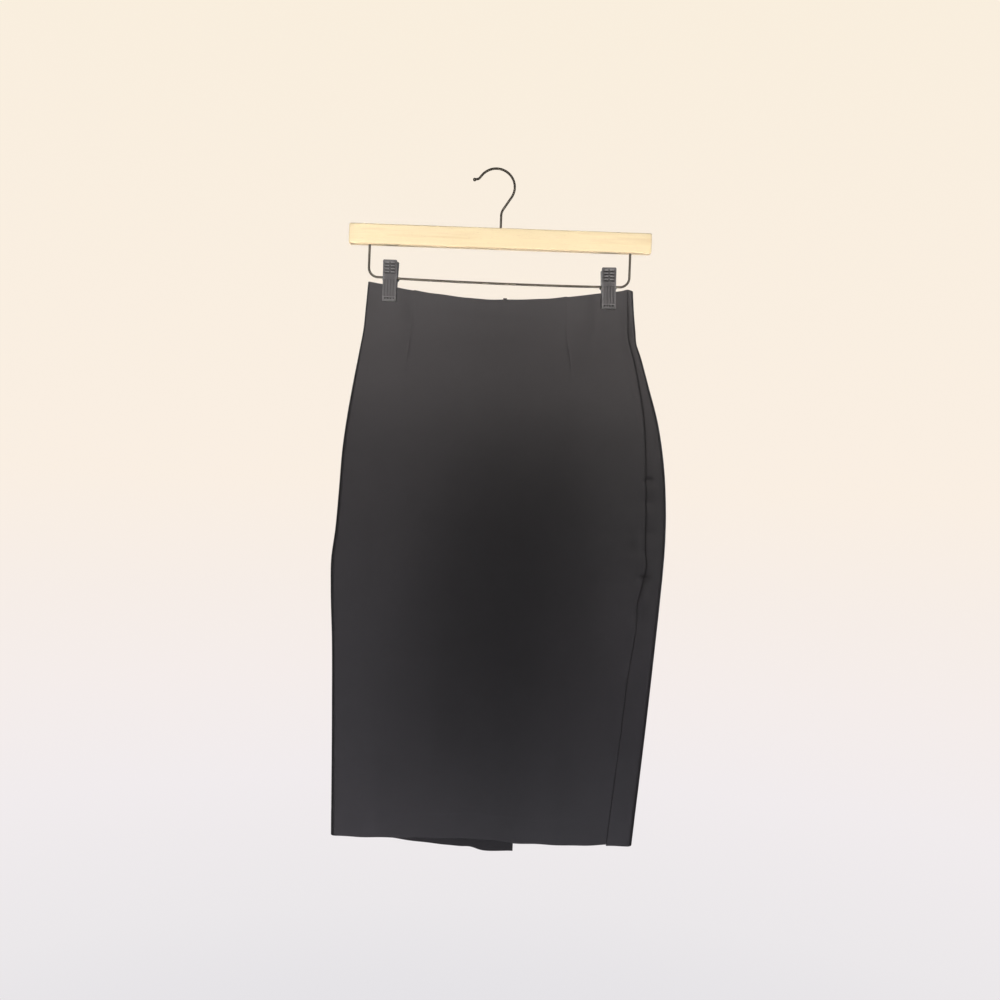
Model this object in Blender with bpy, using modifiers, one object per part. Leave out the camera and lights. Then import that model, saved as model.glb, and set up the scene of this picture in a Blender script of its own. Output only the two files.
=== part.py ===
"""A pencil skirt, hung by two clips from a wooden skirt hanger.

Run with: blender --background --python part.py

Metres, +Z up. X runs along the hanger's bar and the front of the skirt faces -Y. The origin is the
hook's seat: the underside of its wire at the top of the bend, where a nail or a rod carries it.

The skirt is a flattened tube. Its outline in plan is worked out at each drop below the waist, from a
left fold along the front to a right fold and round the back, and the panels are cut from that tube.
"Left" and "right" in a panel's name are the wearer's; elsewhere they are the viewer's, seen from -Y.
"""

import functools
import math
from collections import namedtuple

import bmesh
import bpy
import numpy as np
from mathutils import Matrix, Vector

# ---------------------------------------------------------------- driving dimensions, in metres
GAP = 0.0003  # between two pieces that meet
WALL = 0.0015  # double knit with its seam allowances pressed flat
PRESSED = WALL + GAP / 2  # half of what the two layers take up where a clip holds them

WIRE_R = 0.0014
HANGER_X = 0.007  # the hanger's middle, to the right of the hook's seat
BAR_LENGTH = 0.355
BAR_DEPTH = 0.012
BAR_HEIGHT = 0.024
BAR_TOP_Z = -0.0694
BAR_EDGE = 0.0015
STEM_SOCKET = 0.012
RAIL_SOCKET = 0.010

HOOK_R = 0.0218  # of the wire's centreline
HOOK_END_DEG = 142.0
HOOK_NECK_Z = -0.0498
HOOK_NECK_R = 0.014
HOOK_TIP = (-0.0256, -0.0124)  # the ball at the free end, x and z
HOOK_TIP_R = 0.004
HOOK_BALL_R = 0.0021
HOOK_FLICK = 0.0055

RAIL_HALF = 0.1533
RAIL_Z = -0.1330
RAIL_SAG = 0.0018
RAIL_CORNER_R = 0.011

CLIP_HALF = 0.008  # half of a clip's width
CLIP_X = {"clip_right": -0.1208, "clip_left": 0.1361}  # named by the wearer's side
SPRING_WIDTH = 0.007
SPRING_WALL = 0.0005

WAIST_Z = -0.1381  # the waist's two ends
SKIRT_LENGTH = 0.650
WAIST_MID_X = -0.004
WAIST_HALF = 0.150
WAIST_SAG = 0.0157
WAIST_SAG_POWER = 1.6
SAG_FADE = 0.120  # how far down the waist's sag dies away
HEM_FADE = 0.150  # how far up the hem's own line dies away
BACK_RISE = 0.0008  # of the back's waist edge over the front's

PINCH_HALF = 0.011
PINCH_SIDE = 0.012
PINCH_SPREAD = 0.25
PINCH_DROP = 0.028
PINCH_BELOW = 0.055

DART_SHARES = (0.183, 0.769)  # of the front, from the left fold to the right seam
DART_LENGTH = 0.104
DART_DIP = 0.0006
DART_HALF = 0.0026

VENT_DROP = 0.450
UNDERLAP = 0.036
UNDERLAP_SLANT = 0.5
TUCK_SPARE = 0.0002
TUCK = WALL + GAP + TUCK_SPARE  # how far in the underlap lies
TUCK_ACROSS = 0.022
TUCK_RISE = 0.026

ZIP_LENGTH = 0.220
ZIP_HALF = 0.006
ZIP_WALL = 0.0009
SLIDER_HALF = 0.0022
SLIDER_REACH = 0.009
SLIDER_CAP = 0.0024
SLIDER_INNER = 0.0013
SLIDER_OUTER = 0.0009
SLIDER_CHEEK = 0.0006
PULL_PIN_R = 0.00045
PULL_RUN = 0.0001  # the running clearance round the pin
PULL_EYE_R = 0.0013
PULL_LENGTH = 0.016
PULL_WALL = 0.0009
PULL_NECK = 0.0011  # half widths of the tab, and how far below the pin it widens
PULL_BELLY = 0.0021
PULL_NECK_END = 0.004
PULL_WIDEST = 0.010

# Sections of the tube. drop: below the waist's ends. left, right: the two folds, from the hanger's
# middle. fold: half the tube's thickness at a fold. front, back: how far the middle stands out.
# ahead, behind: from a fold to the side seam, along the cloth. The skirt hangs turned, and more so
# towards the hem: the seam at the right fold lies ahead of it, on the front, and the other behind
# the left fold, on the back.
Section = namedtuple("Section", "drop left right fold front back ahead behind")
SECTIONS = tuple(
    Section(*row)
    for row in (
        (0.000, -0.1528, 0.1566, 0.0031, 0.0058, 0.0050, 0.0078, 0.0045),
        (0.030, -0.1547, 0.1592, 0.0033, 0.0068, 0.0054, 0.0092, 0.0060),
        (0.057, -0.1567, 0.1623, 0.0036, 0.0085, 0.0058, 0.0102, 0.0080),
        (0.080, -0.1603, 0.1697, 0.0040, 0.0104, 0.0062, 0.0113, 0.0100),
        (0.115, -0.1659, 0.1802, 0.0045, 0.0132, 0.0066, 0.0140, 0.0135),
        (0.150, -0.1710, 0.1905, 0.0050, 0.0155, 0.0072, 0.0180, 0.0170),
        (0.195, -0.1760, 0.1990, 0.0053, 0.0172, 0.0078, 0.0230, 0.0210),
        (0.245, -0.1785, 0.2038, 0.0055, 0.0180, 0.0082, 0.0260, 0.0245),
        (0.290, -0.1810, 0.2048, 0.0055, 0.0180, 0.0084, 0.0268, 0.0270),
        (0.328, -0.1847, 0.2034, 0.0055, 0.0176, 0.0084, 0.0265, 0.0285),
        (0.360, -0.1840, 0.2013, 0.0055, 0.0170, 0.0084, 0.0275, 0.0300),
        (0.420, -0.1805, 0.1969, 0.0055, 0.0160, 0.0084, 0.0300, 0.0330),
        (0.500, -0.1776, 0.1907, 0.0055, 0.0148, 0.0084, 0.0325, 0.0365),
        (0.650, -0.1733, 0.1778, 0.0055, 0.0134, 0.0082, 0.0335, 0.0420),
    )
)

# Soft flutes that open towards the hem. x: from the hanger's middle. half: their half width.
# lift: how far they stand out at the hem. start: the drop where they begin.
Flute = namedtuple("Flute", "side x half lift start")
FLUTES = tuple(
    Flute(*row)
    for row in (
        ("front", -0.128, 0.026, 0.0026, 0.430),
        ("front", -0.086, 0.024, -0.0014, 0.470),
        ("front", -0.020, 0.040, -0.0022, 0.360),
        ("front", 0.050, 0.030, 0.0018, 0.400),
        ("front", 0.118, 0.024, 0.0026, 0.450),
        ("front", 0.150, 0.018, -0.0016, 0.500),
        ("back", -0.110, 0.035, 0.0016, 0.400),
        ("back", 0.030, 0.045, 0.0020, 0.380),
        ("back", 0.125, 0.030, -0.0014, 0.430),
    )
)

# How much lower than the nominal hem each panel's edge hangs, by x from the hanger's middle.
HEM_LINES = {
    "front_panel": ((-0.1733, -0.128, -0.090, -0.020, 0.050, 0.095, 0.122, 0.151, 0.1778),
                    (0.0000, -0.0012, 0.0008, 0.0010, 0.0016, 0.0002, 0.0010, -0.0012, 0.0000)),
    "back_panel_right": ((-0.1733, -0.120, -0.080, -0.030, 0.006, 0.022, 0.045),
                         (0.0000, 0.0040, 0.0075, 0.0115, 0.0160, 0.0166, 0.0152)),
    "back_panel_left": ((-0.040, 0.005, 0.100, 0.1778),
                        (0.0030, 0.0030, 0.0010, 0.0000)),
}

ROWS = (0.000, 0.007, 0.015, 0.024, 0.034, 0.046, 0.057, 0.068, 0.080, 0.096, 0.115, 0.134, 0.154,
        0.176, 0.200, 0.226, 0.254, 0.284, 0.314, 0.344, 0.374, 0.410, VENT_DROP - TUCK_RISE,
        VENT_DROP, 0.490, 0.530, 0.570, 0.605, 0.632, SKIRT_LENGTH)
FRONT_COLUMNS = 26
FRONT_FIRST = 0.045  # share of the front at the first column past the left fold
DART_CLEAR = 0.016
SEAM_STEP = 0.0008  # from a seam to the next column, so that both panels meet it square
BACK_COLUMNS = 13
UNDERLAP_COLUMNS = 4
GIRTH_SAMPLES = 500

COLOURS = {
    "black_cloth": ((0.022, 0.021, 0.022), 0.85, 0.0),
    "pale_wood": ((0.80, 0.62, 0.36), 0.50, 0.0),
    "dark_wire": ((0.035, 0.033, 0.028), 0.35, 1.0),
    "black_plastic": ((0.030, 0.030, 0.031), 0.45, 0.0),
    "spring_steel": ((0.55, 0.55, 0.56), 0.30, 1.0),
    "zip_metal": ((0.025, 0.025, 0.026), 0.35, 1.0),
}


# ---------------------------------------------------------------- scene, materials and helpers
def clear_scene():
    for obj in list(bpy.data.objects):
        bpy.data.objects.remove(obj, do_unlink=True)


def new_collection(name):
    collection = bpy.data.collections.new(name)
    bpy.context.scene.collection.children.link(collection)
    return collection


def new_material(name, colour, roughness, metallic):
    material = bpy.data.materials.new(name)
    material.use_nodes = True
    shader = material.node_tree.nodes["Principled BSDF"]
    shader.inputs["Base Color"].default_value = (*colour, 1.0)
    shader.inputs["Roughness"].default_value = roughness
    shader.inputs["Metallic"].default_value = metallic
    return material


def add_object(name, data, material, collection):
    data.materials.append(material)
    obj = bpy.data.objects.new(name, data)
    collection.objects.link(obj)
    return obj


def mesh_from(mesh_builder, name):
    mesh = bpy.data.meshes.new(name)
    mesh_builder.to_mesh(mesh)
    mesh_builder.free()
    return mesh


def smooth(mesh, angle_deg=40.0):
    mesh.shade_smooth()
    mesh.set_sharp_from_angle(angle=math.radians(angle_deg))


def solidify(obj, thickness, offset):
    modifier = obj.modifiers.new("wall", "SOLIDIFY")
    modifier.thickness = thickness
    modifier.offset = offset
    modifier.use_even_offset = True


def bevel(obj, width, segments=2):
    modifier = obj.modifiers.new("edges", "BEVEL")
    modifier.width = width
    modifier.segments = segments
    modifier.limit_method = "ANGLE"


def boolean(obj, other, operation):
    modifier = obj.modifiers.new(operation.lower(), "BOOLEAN")
    modifier.operation = operation
    modifier.object = other


def keep_as_helper(obj, cutters):
    for collection in list(obj.users_collection):
        collection.objects.unlink(obj)
    cutters.objects.link(obj)
    obj.hide_render = True
    obj.display_type = "WIRE"


def box_mesh(name, boxes):
    """One mesh of separate boxes, each given by its lowest and highest corner."""
    builder = bmesh.new()
    for low, high in boxes:
        low, high = Vector(low), Vector(high)
        size = Matrix.Diagonal((*(high - low), 1.0))
        bmesh.ops.create_cube(builder, size=1.0, matrix=Matrix.Translation((low + high) / 2) @ size)
    return mesh_from(builder, name)


def cylinder_mesh(name, radius, start, end, sides=20):
    start, end = Vector(start), Vector(end)
    along = end - start
    turn = along.to_track_quat("Z", "Y").to_matrix().to_4x4()
    builder = bmesh.new()
    bmesh.ops.create_cone(builder, cap_ends=True, segments=sides, radius1=radius, radius2=radius,
                          depth=along.length, matrix=Matrix.Translation((start + end) / 2) @ turn)
    return mesh_from(builder, name)


def corner(before, at, after, radius, steps=6):
    """Points of the arc that rounds a corner of a path off to a radius."""
    before, at, after = Vector(before), Vector(at), Vector(after)
    back, on = (before - at).normalized(), (after - at).normalized()
    half = back.angle(on) / 2
    centre = at + (back + on).normalized() * (radius / math.sin(half))
    first = (at + back * (radius / math.tan(half)) - centre).normalized()
    last = (at + on * (radius / math.tan(half)) - centre).normalized()
    return [tuple(centre + radius * first.slerp(last, step / steps)) for step in range(steps + 1)]


def wire(name, points, radius, material, collection, resolution=2):
    curve = bpy.data.curves.new(name, "CURVE")
    curve.dimensions = "3D"
    curve.bevel_depth = radius
    curve.bevel_resolution = resolution
    curve.use_fill_caps = True
    spline = curve.splines.new("POLY")
    spline.points.add(len(points) - 1)
    for target, point in zip(spline.points, points):
        target.co = (*point, 1.0)
    return add_object(name, curve, material, collection)


def flat_piece(name, outline, thickness, material, collection):
    """A flat outline in its own XY plane, with its thickness half to each side."""
    curve = bpy.data.curves.new(name, "CURVE")
    curve.dimensions = "2D"
    curve.fill_mode = "BOTH"
    curve.extrude = thickness / 2
    spline = curve.splines.new("POLY")
    spline.points.add(len(outline) - 1)
    for target, (u, v) in zip(spline.points, outline):
        target.co = (u, v, 0.0, 1.0)
    spline.use_cyclic_u = True
    return add_object(name, curve, material, collection)


def as_mesh(obj):
    """The same object as a mesh with its caps welded on."""
    bpy.context.view_layer.update()
    graph = bpy.context.evaluated_depsgraph_get()
    mesh = bpy.data.meshes.new_from_object(obj.evaluated_get(graph))
    builder = bmesh.new()
    builder.from_mesh(mesh)
    bmesh.ops.remove_doubles(builder, verts=builder.verts, dist=1e-6)
    bmesh.ops.recalc_face_normals(builder, faces=builder.faces)
    builder.to_mesh(mesh)
    builder.free()
    name, place, collection = obj.name, obj.matrix_world.copy(), obj.users_collection[0]
    bpy.data.objects.remove(obj, do_unlink=True)
    made = bpy.data.objects.new(name, mesh)
    made.matrix_world = place
    collection.objects.link(made)
    return made


def standing_on_edge(at, side):
    """Turns a flat piece so that its X points out to a side, -1 or 1 along Y, and its Y up."""
    axes = Matrix(((0.0, 0.0, side), (side, 0.0, 0.0), (0.0, 1.0, 0.0)))
    return Matrix.Translation(at) @ axes.to_4x4()


# ---------------------------------------------------------------- the form of the hung skirt
def read_table(keys, values, at):
    """A smooth curve through a table's rows, read at one or more places."""
    keys, values, at = np.asarray(keys), np.asarray(values), np.asarray(at)
    slopes = np.gradient(values, keys)
    index = np.clip(np.searchsorted(keys, at) - 1, 0, len(keys) - 2)
    span = keys[index + 1] - keys[index]
    t = np.clip((at - keys[index]) / span, 0.0, 1.0)
    start = (1 + 2 * t) * (1 - t) ** 2 * values[index] + t * (1 - t) ** 2 * span * slopes[index]
    end = t * t * (3 - 2 * t) * values[index + 1] - t * t * (1 - t) * span * slopes[index + 1]
    return start + end


def section_at(drop):
    drops = [section.drop for section in SECTIONS]
    columns = zip(*SECTIONS)
    return Section(*(float(read_table(drops, column, drop)) for column in columns))


def ease(t):
    t = np.clip(t, 0.0, 1.0)
    return t * t * (3 - 2 * t)


def pinch(x, drop):
    """1 where a clip presses the two layers together, down to 0 where the tube is free."""
    held = np.zeros_like(x)
    for clip_x in CLIP_X.values():
        below = max(drop - PINCH_DROP, 0.0)
        side = PINCH_SIDE + PINCH_SPREAD * below
        aside = np.maximum(np.abs(x - (clip_x - HANGER_X)) - PINCH_HALF, 0.0) / side
        held = np.maximum(held, np.exp(-aside**2 - (below / PINCH_BELOW) ** 2))
    return held


def flutes(x, drop, side):
    lift = np.zeros_like(x)
    for flute in FLUTES:
        if flute.side == side:
            grown = ease((drop - flute.start) / (SKIRT_LENGTH - flute.start))
            lift = lift + flute.lift * grown * np.exp(-((x - flute.x) / flute.half) ** 2)
    return lift


def half_depth(x, drop, section, side):
    """How far the outer face of the front or back lies from the plane of the clips."""
    middle = (section.left + section.right) / 2
    across = (x - middle) / ((section.right - section.left) / 2)
    stands_out = section.front if side == "front" else section.back
    free = section.fold - PRESSED + (stands_out - section.fold) * (1 - across**2)
    from_fold = np.minimum(x - section.left, section.right - x) / section.fold
    rounding = np.sqrt(1 - np.clip(1 - from_fold, 0.0, 1.0) ** 2)
    open_share = 1 - pinch(x, drop)
    return (PRESSED + free * open_share + flutes(x, drop, side)) * rounding


def outward(x, y):
    """Unit directions square to a closed outline, whose last point repeats its first."""
    along_x = np.roll(x[:-1], -1) - np.roll(x[:-1], 1)
    along_y = np.roll(y[:-1], -1) - np.roll(y[:-1], 1)
    length = np.hypot(along_x, along_y)
    out_x, out_y = along_y / length, -along_x / length
    return np.append(out_x, out_x[0]), np.append(out_y, out_y[0])


Girth = namedtuple("Girth", "x y out_x out_y arc right_fold total section")


@functools.lru_cache(maxsize=None)
def girth(drop):
    """The tube's outline at a drop, from the left fold along the front and round the back."""
    section = section_at(drop)
    turn = np.linspace(0.0, math.pi, GIRTH_SAMPLES)
    x = section.left + (section.right - section.left) * (1 - np.cos(turn)) / 2
    front = -half_depth(x, drop, section, "front")
    back = half_depth(x, drop, section, "back")
    all_x = np.concatenate([x, x[::-1][1:]])
    all_y = np.concatenate([front, back[::-1][1:]])
    arc = np.concatenate([[0.0], np.cumsum(np.hypot(np.diff(all_x), np.diff(all_y)))])
    out_x, out_y = outward(all_x, all_y)
    return Girth(all_x, all_y, out_x, out_y, arc, arc[GIRTH_SAMPLES - 1], arc[-1], section)


def back_span(drop):
    """The back's two edges: ahead of the right fold and behind the left one."""
    outline = girth(drop)
    return outline.right_fold - outline.section.ahead, outline.total - outline.section.behind


def centre_back(drop):
    """Where the centre back seam runs, midway between the side seams."""
    return sum(back_span(drop)) / 2


def drop_line(x, drop, on_back, panel):
    """z of a point of the tube, with the waist's sag and the panel's own hem."""
    across = np.clip(abs(x - WAIST_MID_X) / WAIST_HALF, 0.0, 1.0)
    sag = WAIST_SAG * (1 - across**WAIST_SAG_POWER)
    if on_back:
        sag -= BACK_RISE * (1 - across**2)
    sag *= max(1 - drop / SAG_FADE, 0.0) ** 2
    low = read_table(*HEM_LINES[panel], x)
    low *= max(1 - (SKIRT_LENGTH - drop) / HEM_FADE, 0.0) ** 2
    return WAIST_Z - drop - sag - low


def skirt_point(drop, arc, panel, inward=0.0):
    """A point of a panel's outer face, or one that lies a distance inside it."""
    outline = girth(drop)
    around = arc % outline.total
    x, y, out_x, out_y = (float(np.interp(around, outline.arc, values))
                          for values in (outline.x, outline.y, outline.out_x, outline.out_y))
    z = drop_line(x, drop, around > outline.right_fold, panel)
    return Vector((HANGER_X + x - inward * out_x, y - inward * out_y, z))


def dart_dip(drop, arc, last):
    """The shallow line that a stitched dart draws in the front, dying out at its point."""
    if drop >= DART_LENGTH:
        return 0.0
    nearest = min(abs(arc - dart * last) for dart in DART_SHARES)
    return DART_DIP * math.sqrt(1 - drop / DART_LENGTH) * max(1 - nearest / DART_HALF, 0.0)


def vent_tuck(drop, past_seam):
    """How far the underlap's side is pushed in, to pass under the other back panel."""
    down = ease((drop - VENT_DROP + TUCK_RISE) / TUCK_RISE)
    return float(TUCK * down * ease(1 + min(past_seam, 0.0) / TUCK_ACROSS))


# ---------------------------------------------------------------- the panels
def fold_arcs(fold, before, after):
    """Distances from a fold, along the cloth, of the columns that make its round edge."""
    quarter = math.pi / 2 * fold
    most = 0.7  # of the way to the nearest seam
    first, last = min(quarter, most * before), min(quarter, most * after)
    return [-first, -first * 2 / 3, -first / 3, 0.0, last / 3, last * 2 / 3, last]


def front_span(drop):
    """The front panel's two edges: behind the left fold and ahead of the right one."""
    outline = girth(drop)
    return -outline.section.behind, outline.right_fold - outline.section.ahead


def seam_columns(seam, onward):
    """The columns beside a seam, and one midway from there to the next."""
    step = seam + SEAM_STEP
    return [seam + GAP / 2, step, (step + onward) / 2]


@functools.lru_cache(maxsize=None)
def front_shares():
    """Columns between the left fold and the right seam, as shares of that stretch."""
    even = np.linspace(FRONT_FIRST, 1.0, FRONT_COLUMNS)[:-1]
    clear = [share for share in even
             if min(abs(share - dart) for dart in DART_SHARES) > DART_CLEAR]
    return tuple(sorted(clear + list(DART_SHARES)))


def front_arcs(drop):
    section = girth(drop).section
    first, last = front_span(drop)
    fold = fold_arcs(section.fold, section.behind, section.right - section.left)
    arcs = seam_columns(first, fold[0]) + fold
    for share in front_shares():
        arc = share * last
        arcs += [arc - DART_HALF, arc, arc + DART_HALF] if share in DART_SHARES else [arc]
    return arcs + [last - SEAM_STEP, last - GAP / 2]


def front_place(drop, arc):
    _, last = front_span(drop)
    return skirt_point(drop, arc, "front_panel", dart_dip(drop, arc, last))


def back_left_arcs(drop):
    """The underlap's columns come last, and are there only below the vent's top."""
    outline = girth(drop)
    section = outline.section
    first, _ = back_span(drop)
    seam = centre_back(drop)
    around = fold_arcs(section.fold, section.ahead, section.right - section.left)
    fold = [outline.right_fold + arc for arc in around]
    rest = np.linspace(fold[-1], seam - TUCK_ACROSS, BACK_COLUMNS - 1)[1:]
    near_seam = [seam - TUCK_ACROSS / 2, seam - GAP / 2]
    reach = np.linspace(0.0, UNDERLAP, UNDERLAP_COLUMNS + 1)[1:]
    underlap = [seam + out if drop >= VENT_DROP else None for out in reach]
    return seam_columns(first, fold[0]) + fold + list(rest) + near_seam + underlap


def back_left_place(drop, arc):
    past_seam = arc - centre_back(drop)
    point = skirt_point(drop, arc, "back_panel_left", vent_tuck(drop, past_seam))
    if past_seam > 0:
        left_share = (SKIRT_LENGTH - drop) / (SKIRT_LENGTH - VENT_DROP)
        point.z -= UNDERLAP_SLANT * past_seam * left_share
    return point


def back_right_arcs(drop):
    _, last = back_span(drop)
    even = np.linspace(centre_back(drop) + GAP / 2, last - SEAM_STEP, BACK_COLUMNS + 1)
    return list(even) + [last - GAP / 2]


def back_right_place(drop, arc):
    return skirt_point(drop, arc, "back_panel_right")


def cloth(name, rows, arcs_of, place, wall, material, collection):
    """A sheet of quads through the points of its rows, given its wall on the inside."""
    builder = bmesh.new()
    grid = {}
    for row, drop in enumerate(rows):
        for column, arc in enumerate(arcs_of(drop)):
            if arc is not None:
                grid[row, column] = builder.verts.new(place(drop, arc))
    for (row, column), first in grid.items():
        others = ((row + 1, column), (row + 1, column + 1), (row, column + 1))
        if all(key in grid for key in others):
            builder.faces.new([first] + [grid[key] for key in others])
    mesh = mesh_from(builder, name)
    smooth(mesh, 60.0)
    solidify(add_object(name, mesh, material, collection), wall, -1.0)


def make_panels(parts, material):
    cuts = {
        "front_panel": (front_arcs, front_place),
        "back_panel_left": (back_left_arcs, back_left_place),
        "back_panel_right": (back_right_arcs, back_right_place),
    }
    for name, (arcs_of, place) in cuts.items():
        cloth(name, ROWS, arcs_of, place, WALL, material, parts)


# ---------------------------------------------------------------- the zip in the centre back seam
def waist_at_centre_back():
    return skirt_point(0.0, centre_back(0.0), "back_panel_left")


def zip_rows():
    first = SLIDER_REACH + GAP + WAIST_SAG
    return [first + share * (ZIP_LENGTH - first) for share in np.linspace(0.0, 1.0, 9)]


def make_zip_tape(parts, material):
    """The closed chain and its tapes, flat against the inside of the seam."""
    inward = WALL + GAP

    def arcs_of(drop):
        seam = centre_back(drop)
        return [seam - ZIP_HALF, seam, seam + ZIP_HALF]

    def place(drop, arc):
        return skirt_point(drop, arc, "back_panel_left", inward)

    cloth("zip_tape", zip_rows(), arcs_of, place, ZIP_WALL, material, parts)


def pull_axis():
    """Centre of the pin that the pull tab turns on."""
    edge = waist_at_centre_back()
    out = GAP + SLIDER_OUTER + GAP + PULL_EYE_R
    return edge + Vector((0.0, out, -SLIDER_CAP))


def make_slider(parts, cutters, material):
    """A saddle over the waist edge: a leg inside, a leg outside, and two cheeks with the pin."""
    edge = waist_at_centre_back()
    pin = pull_axis()
    inner_face = edge.y - WALL - GAP
    outer_face = edge.y + GAP
    low_z, cap_z, top_z = edge.z - SLIDER_REACH, edge.z + GAP, edge.z + SLIDER_CAP
    left, right = edge.x - SLIDER_HALF, edge.x + SLIDER_HALF
    inner_leg = [((left, inner_face - SLIDER_INNER, low_z), (right, inner_face, top_z))]
    slider = add_object("zip_slider", box_mesh("zip_slider", inner_leg), material, parts)
    overlap = 0.0002
    outer_back = outer_face + SLIDER_OUTER
    cheek_low = Vector((0.0, outer_back - overlap, pin.z - PULL_EYE_R))
    cheek_high = Vector((0.0, pin.y + PULL_EYE_R, pin.z + PULL_EYE_R))
    across = Vector((1.0, 0.0, 0.0))
    boxes = {
        "cap": ((left, inner_face - overlap, cap_z), (right, outer_back, top_z - overlap)),
        "outer_leg": ((left, outer_face, low_z), (right, outer_back, top_z)),
        "cheek_a": (cheek_low + left * across, cheek_high + (left + SLIDER_CHEEK) * across),
        "cheek_b": (cheek_low + (right - SLIDER_CHEEK) * across, cheek_high + right * across),
    }
    for name, corners in boxes.items():
        piece = add_object("slider_" + name, box_mesh("slider_" + name, [corners]), material, parts)
        keep_as_helper(piece, cutters)
        boolean(slider, piece, "UNION")
    half = (SLIDER_HALF - SLIDER_CHEEK / 2) * across
    shaft = cylinder_mesh("slider_pin", PULL_PIN_R, pin - half, pin + half, 12)
    shaft_object = add_object("slider_pin", shaft, material, parts)
    keep_as_helper(shaft_object, cutters)
    boolean(slider, shaft_object, "UNION")


def pull_outline():
    """Half a teardrop down from the eye, mirrored: points across and down from the pin."""
    foot = -PULL_LENGTH + PULL_BELLY
    side = [(PULL_NECK, 0.0), (PULL_NECK, -PULL_NECK_END), (PULL_BELLY, -PULL_WIDEST), (PULL_BELLY, foot)]
    turns = np.linspace(0.0, math.pi / 2, 7)[1:-1]
    rounded = [(PULL_BELLY * math.cos(a), foot - PULL_BELLY * math.sin(a)) for a in turns]
    half = side + rounded
    return half + [(0.0, -PULL_LENGTH)] + [(-u, v) for u, v in reversed(half)]


def make_pull(parts, cutters, material):
    pin = pull_axis()
    eye_half = SLIDER_HALF - SLIDER_CHEEK - GAP
    holder = bpy.data.objects.new("zip_pull_hinge", None)
    holder.location = pin
    parts.objects.link(holder)
    plate = flat_piece("zip_pull", pull_outline(), PULL_WALL, material, parts)
    plate.rotation_euler.x = math.pi / 2
    pull = as_mesh(plate)
    pull.parent = holder
    for name, radius, half, operation in (("pull_eye", PULL_EYE_R, eye_half, "UNION"),
                                          ("pull_bore", PULL_PIN_R + PULL_RUN, eye_half * 2, "DIFFERENCE")):
        round_mesh = cylinder_mesh(name, radius, (-half, 0, 0), (half, 0, 0), 20)
        helper = add_object(name, round_mesh, material, parts)
        helper.parent = holder
        keep_as_helper(helper, cutters)
        boolean(pull, helper, operation)


# ---------------------------------------------------------------- the hanger
def hook_path():
    """Up the stem, out to the right, round the bend and down to the ball, in the XZ plane."""
    centre = Vector((0.0, 0.0, WIRE_R - HOOK_R))
    stem = Vector((HANGER_X, 0.0, BAR_TOP_Z - STEM_SOCKET + GAP))
    neck = Vector((HANGER_X, 0.0, HOOK_NECK_Z))
    to_neck = neck - centre
    start = math.atan2(to_neck.z, to_neck.x) + math.acos(HOOK_R / to_neck.length)
    end = math.radians(HOOK_END_DEG)
    bend = [centre + HOOK_R * Vector((math.cos(a), 0.0, math.sin(a))) for a in np.linspace(start, end, 22)]
    onward = Vector((-math.sin(end), 0.0, math.cos(end)))
    flick = bend[-1] + HOOK_FLICK * onward
    tip = Vector((HOOK_TIP[0], 0.0, HOOK_TIP[1]))
    neck_bend = corner(stem, neck, bend[0], HOOK_NECK_R)
    return [stem] + neck_bend + bend + corner(bend[-1], flick, tip, HOOK_TIP_R, 4) + [tip]


def make_hook(parts, cutters, material):
    hook = as_mesh(wire("hook", hook_path(), WIRE_R, material, parts, 3))
    builder = bmesh.new()
    bmesh.ops.create_uvsphere(builder, u_segments=14, v_segments=10, radius=HOOK_BALL_R)
    ball = add_object("hook_ball", mesh_from(builder, "hook_ball"), material, parts)
    ball.location = (HOOK_TIP[0], 0.0, HOOK_TIP[1])
    keep_as_helper(ball, cutters)
    boolean(hook, ball, "UNION")


def rail_path():
    top = BAR_TOP_Z - BAR_HEIGHT + RAIL_SOCKET - GAP
    left, right = HANGER_X - RAIL_HALF, HANGER_X + RAIL_HALF
    corners = [(left, 0.0, top), (left, 0.0, RAIL_Z), (right, 0.0, RAIL_Z), (right, 0.0, top)]
    first = corner(corners[0], corners[1], corners[2], RAIL_CORNER_R)
    last = corner(corners[1], corners[2], corners[3], RAIL_CORNER_R)
    run = np.linspace(first[-1][0], last[0][0], 12)[1:-1]
    low = [(x, 0.0, RAIL_Z - RAIL_SAG * (1 - ((x - HANGER_X) / RAIL_HALF) ** 2)) for x in run]
    return [corners[0]] + first + low + last + [corners[3]]


def make_bar(parts, cutters, material):
    half = Vector((BAR_LENGTH / 2, BAR_DEPTH / 2, 0.0))
    top = Vector((HANGER_X, 0.0, BAR_TOP_Z))
    low = top - half - Vector((0.0, 0.0, BAR_HEIGHT))
    bar = add_object("hanger_bar", box_mesh("hanger_bar", [(low, top + half)]), material, parts)
    bevel(bar, BAR_EDGE, 3)
    past = 0.002
    under = BAR_TOP_Z - BAR_HEIGHT
    sockets = {
        "stem_socket": (HANGER_X, BAR_TOP_Z - STEM_SOCKET, BAR_TOP_Z + past),
        "rail_socket_a": (HANGER_X - RAIL_HALF, under - past, under + RAIL_SOCKET),
        "rail_socket_b": (HANGER_X + RAIL_HALF, under - past, under + RAIL_SOCKET),
    }
    for name, (x, low_z, high_z) in sockets.items():
        hole = cylinder_mesh(name, WIRE_R + GAP, (x, 0.0, low_z), (x, 0.0, high_z))
        cutter = add_object(name, hole, material, parts)
        keep_as_helper(cutter, cutters)
        boolean(bar, cutter, "DIFFERENCE")


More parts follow.
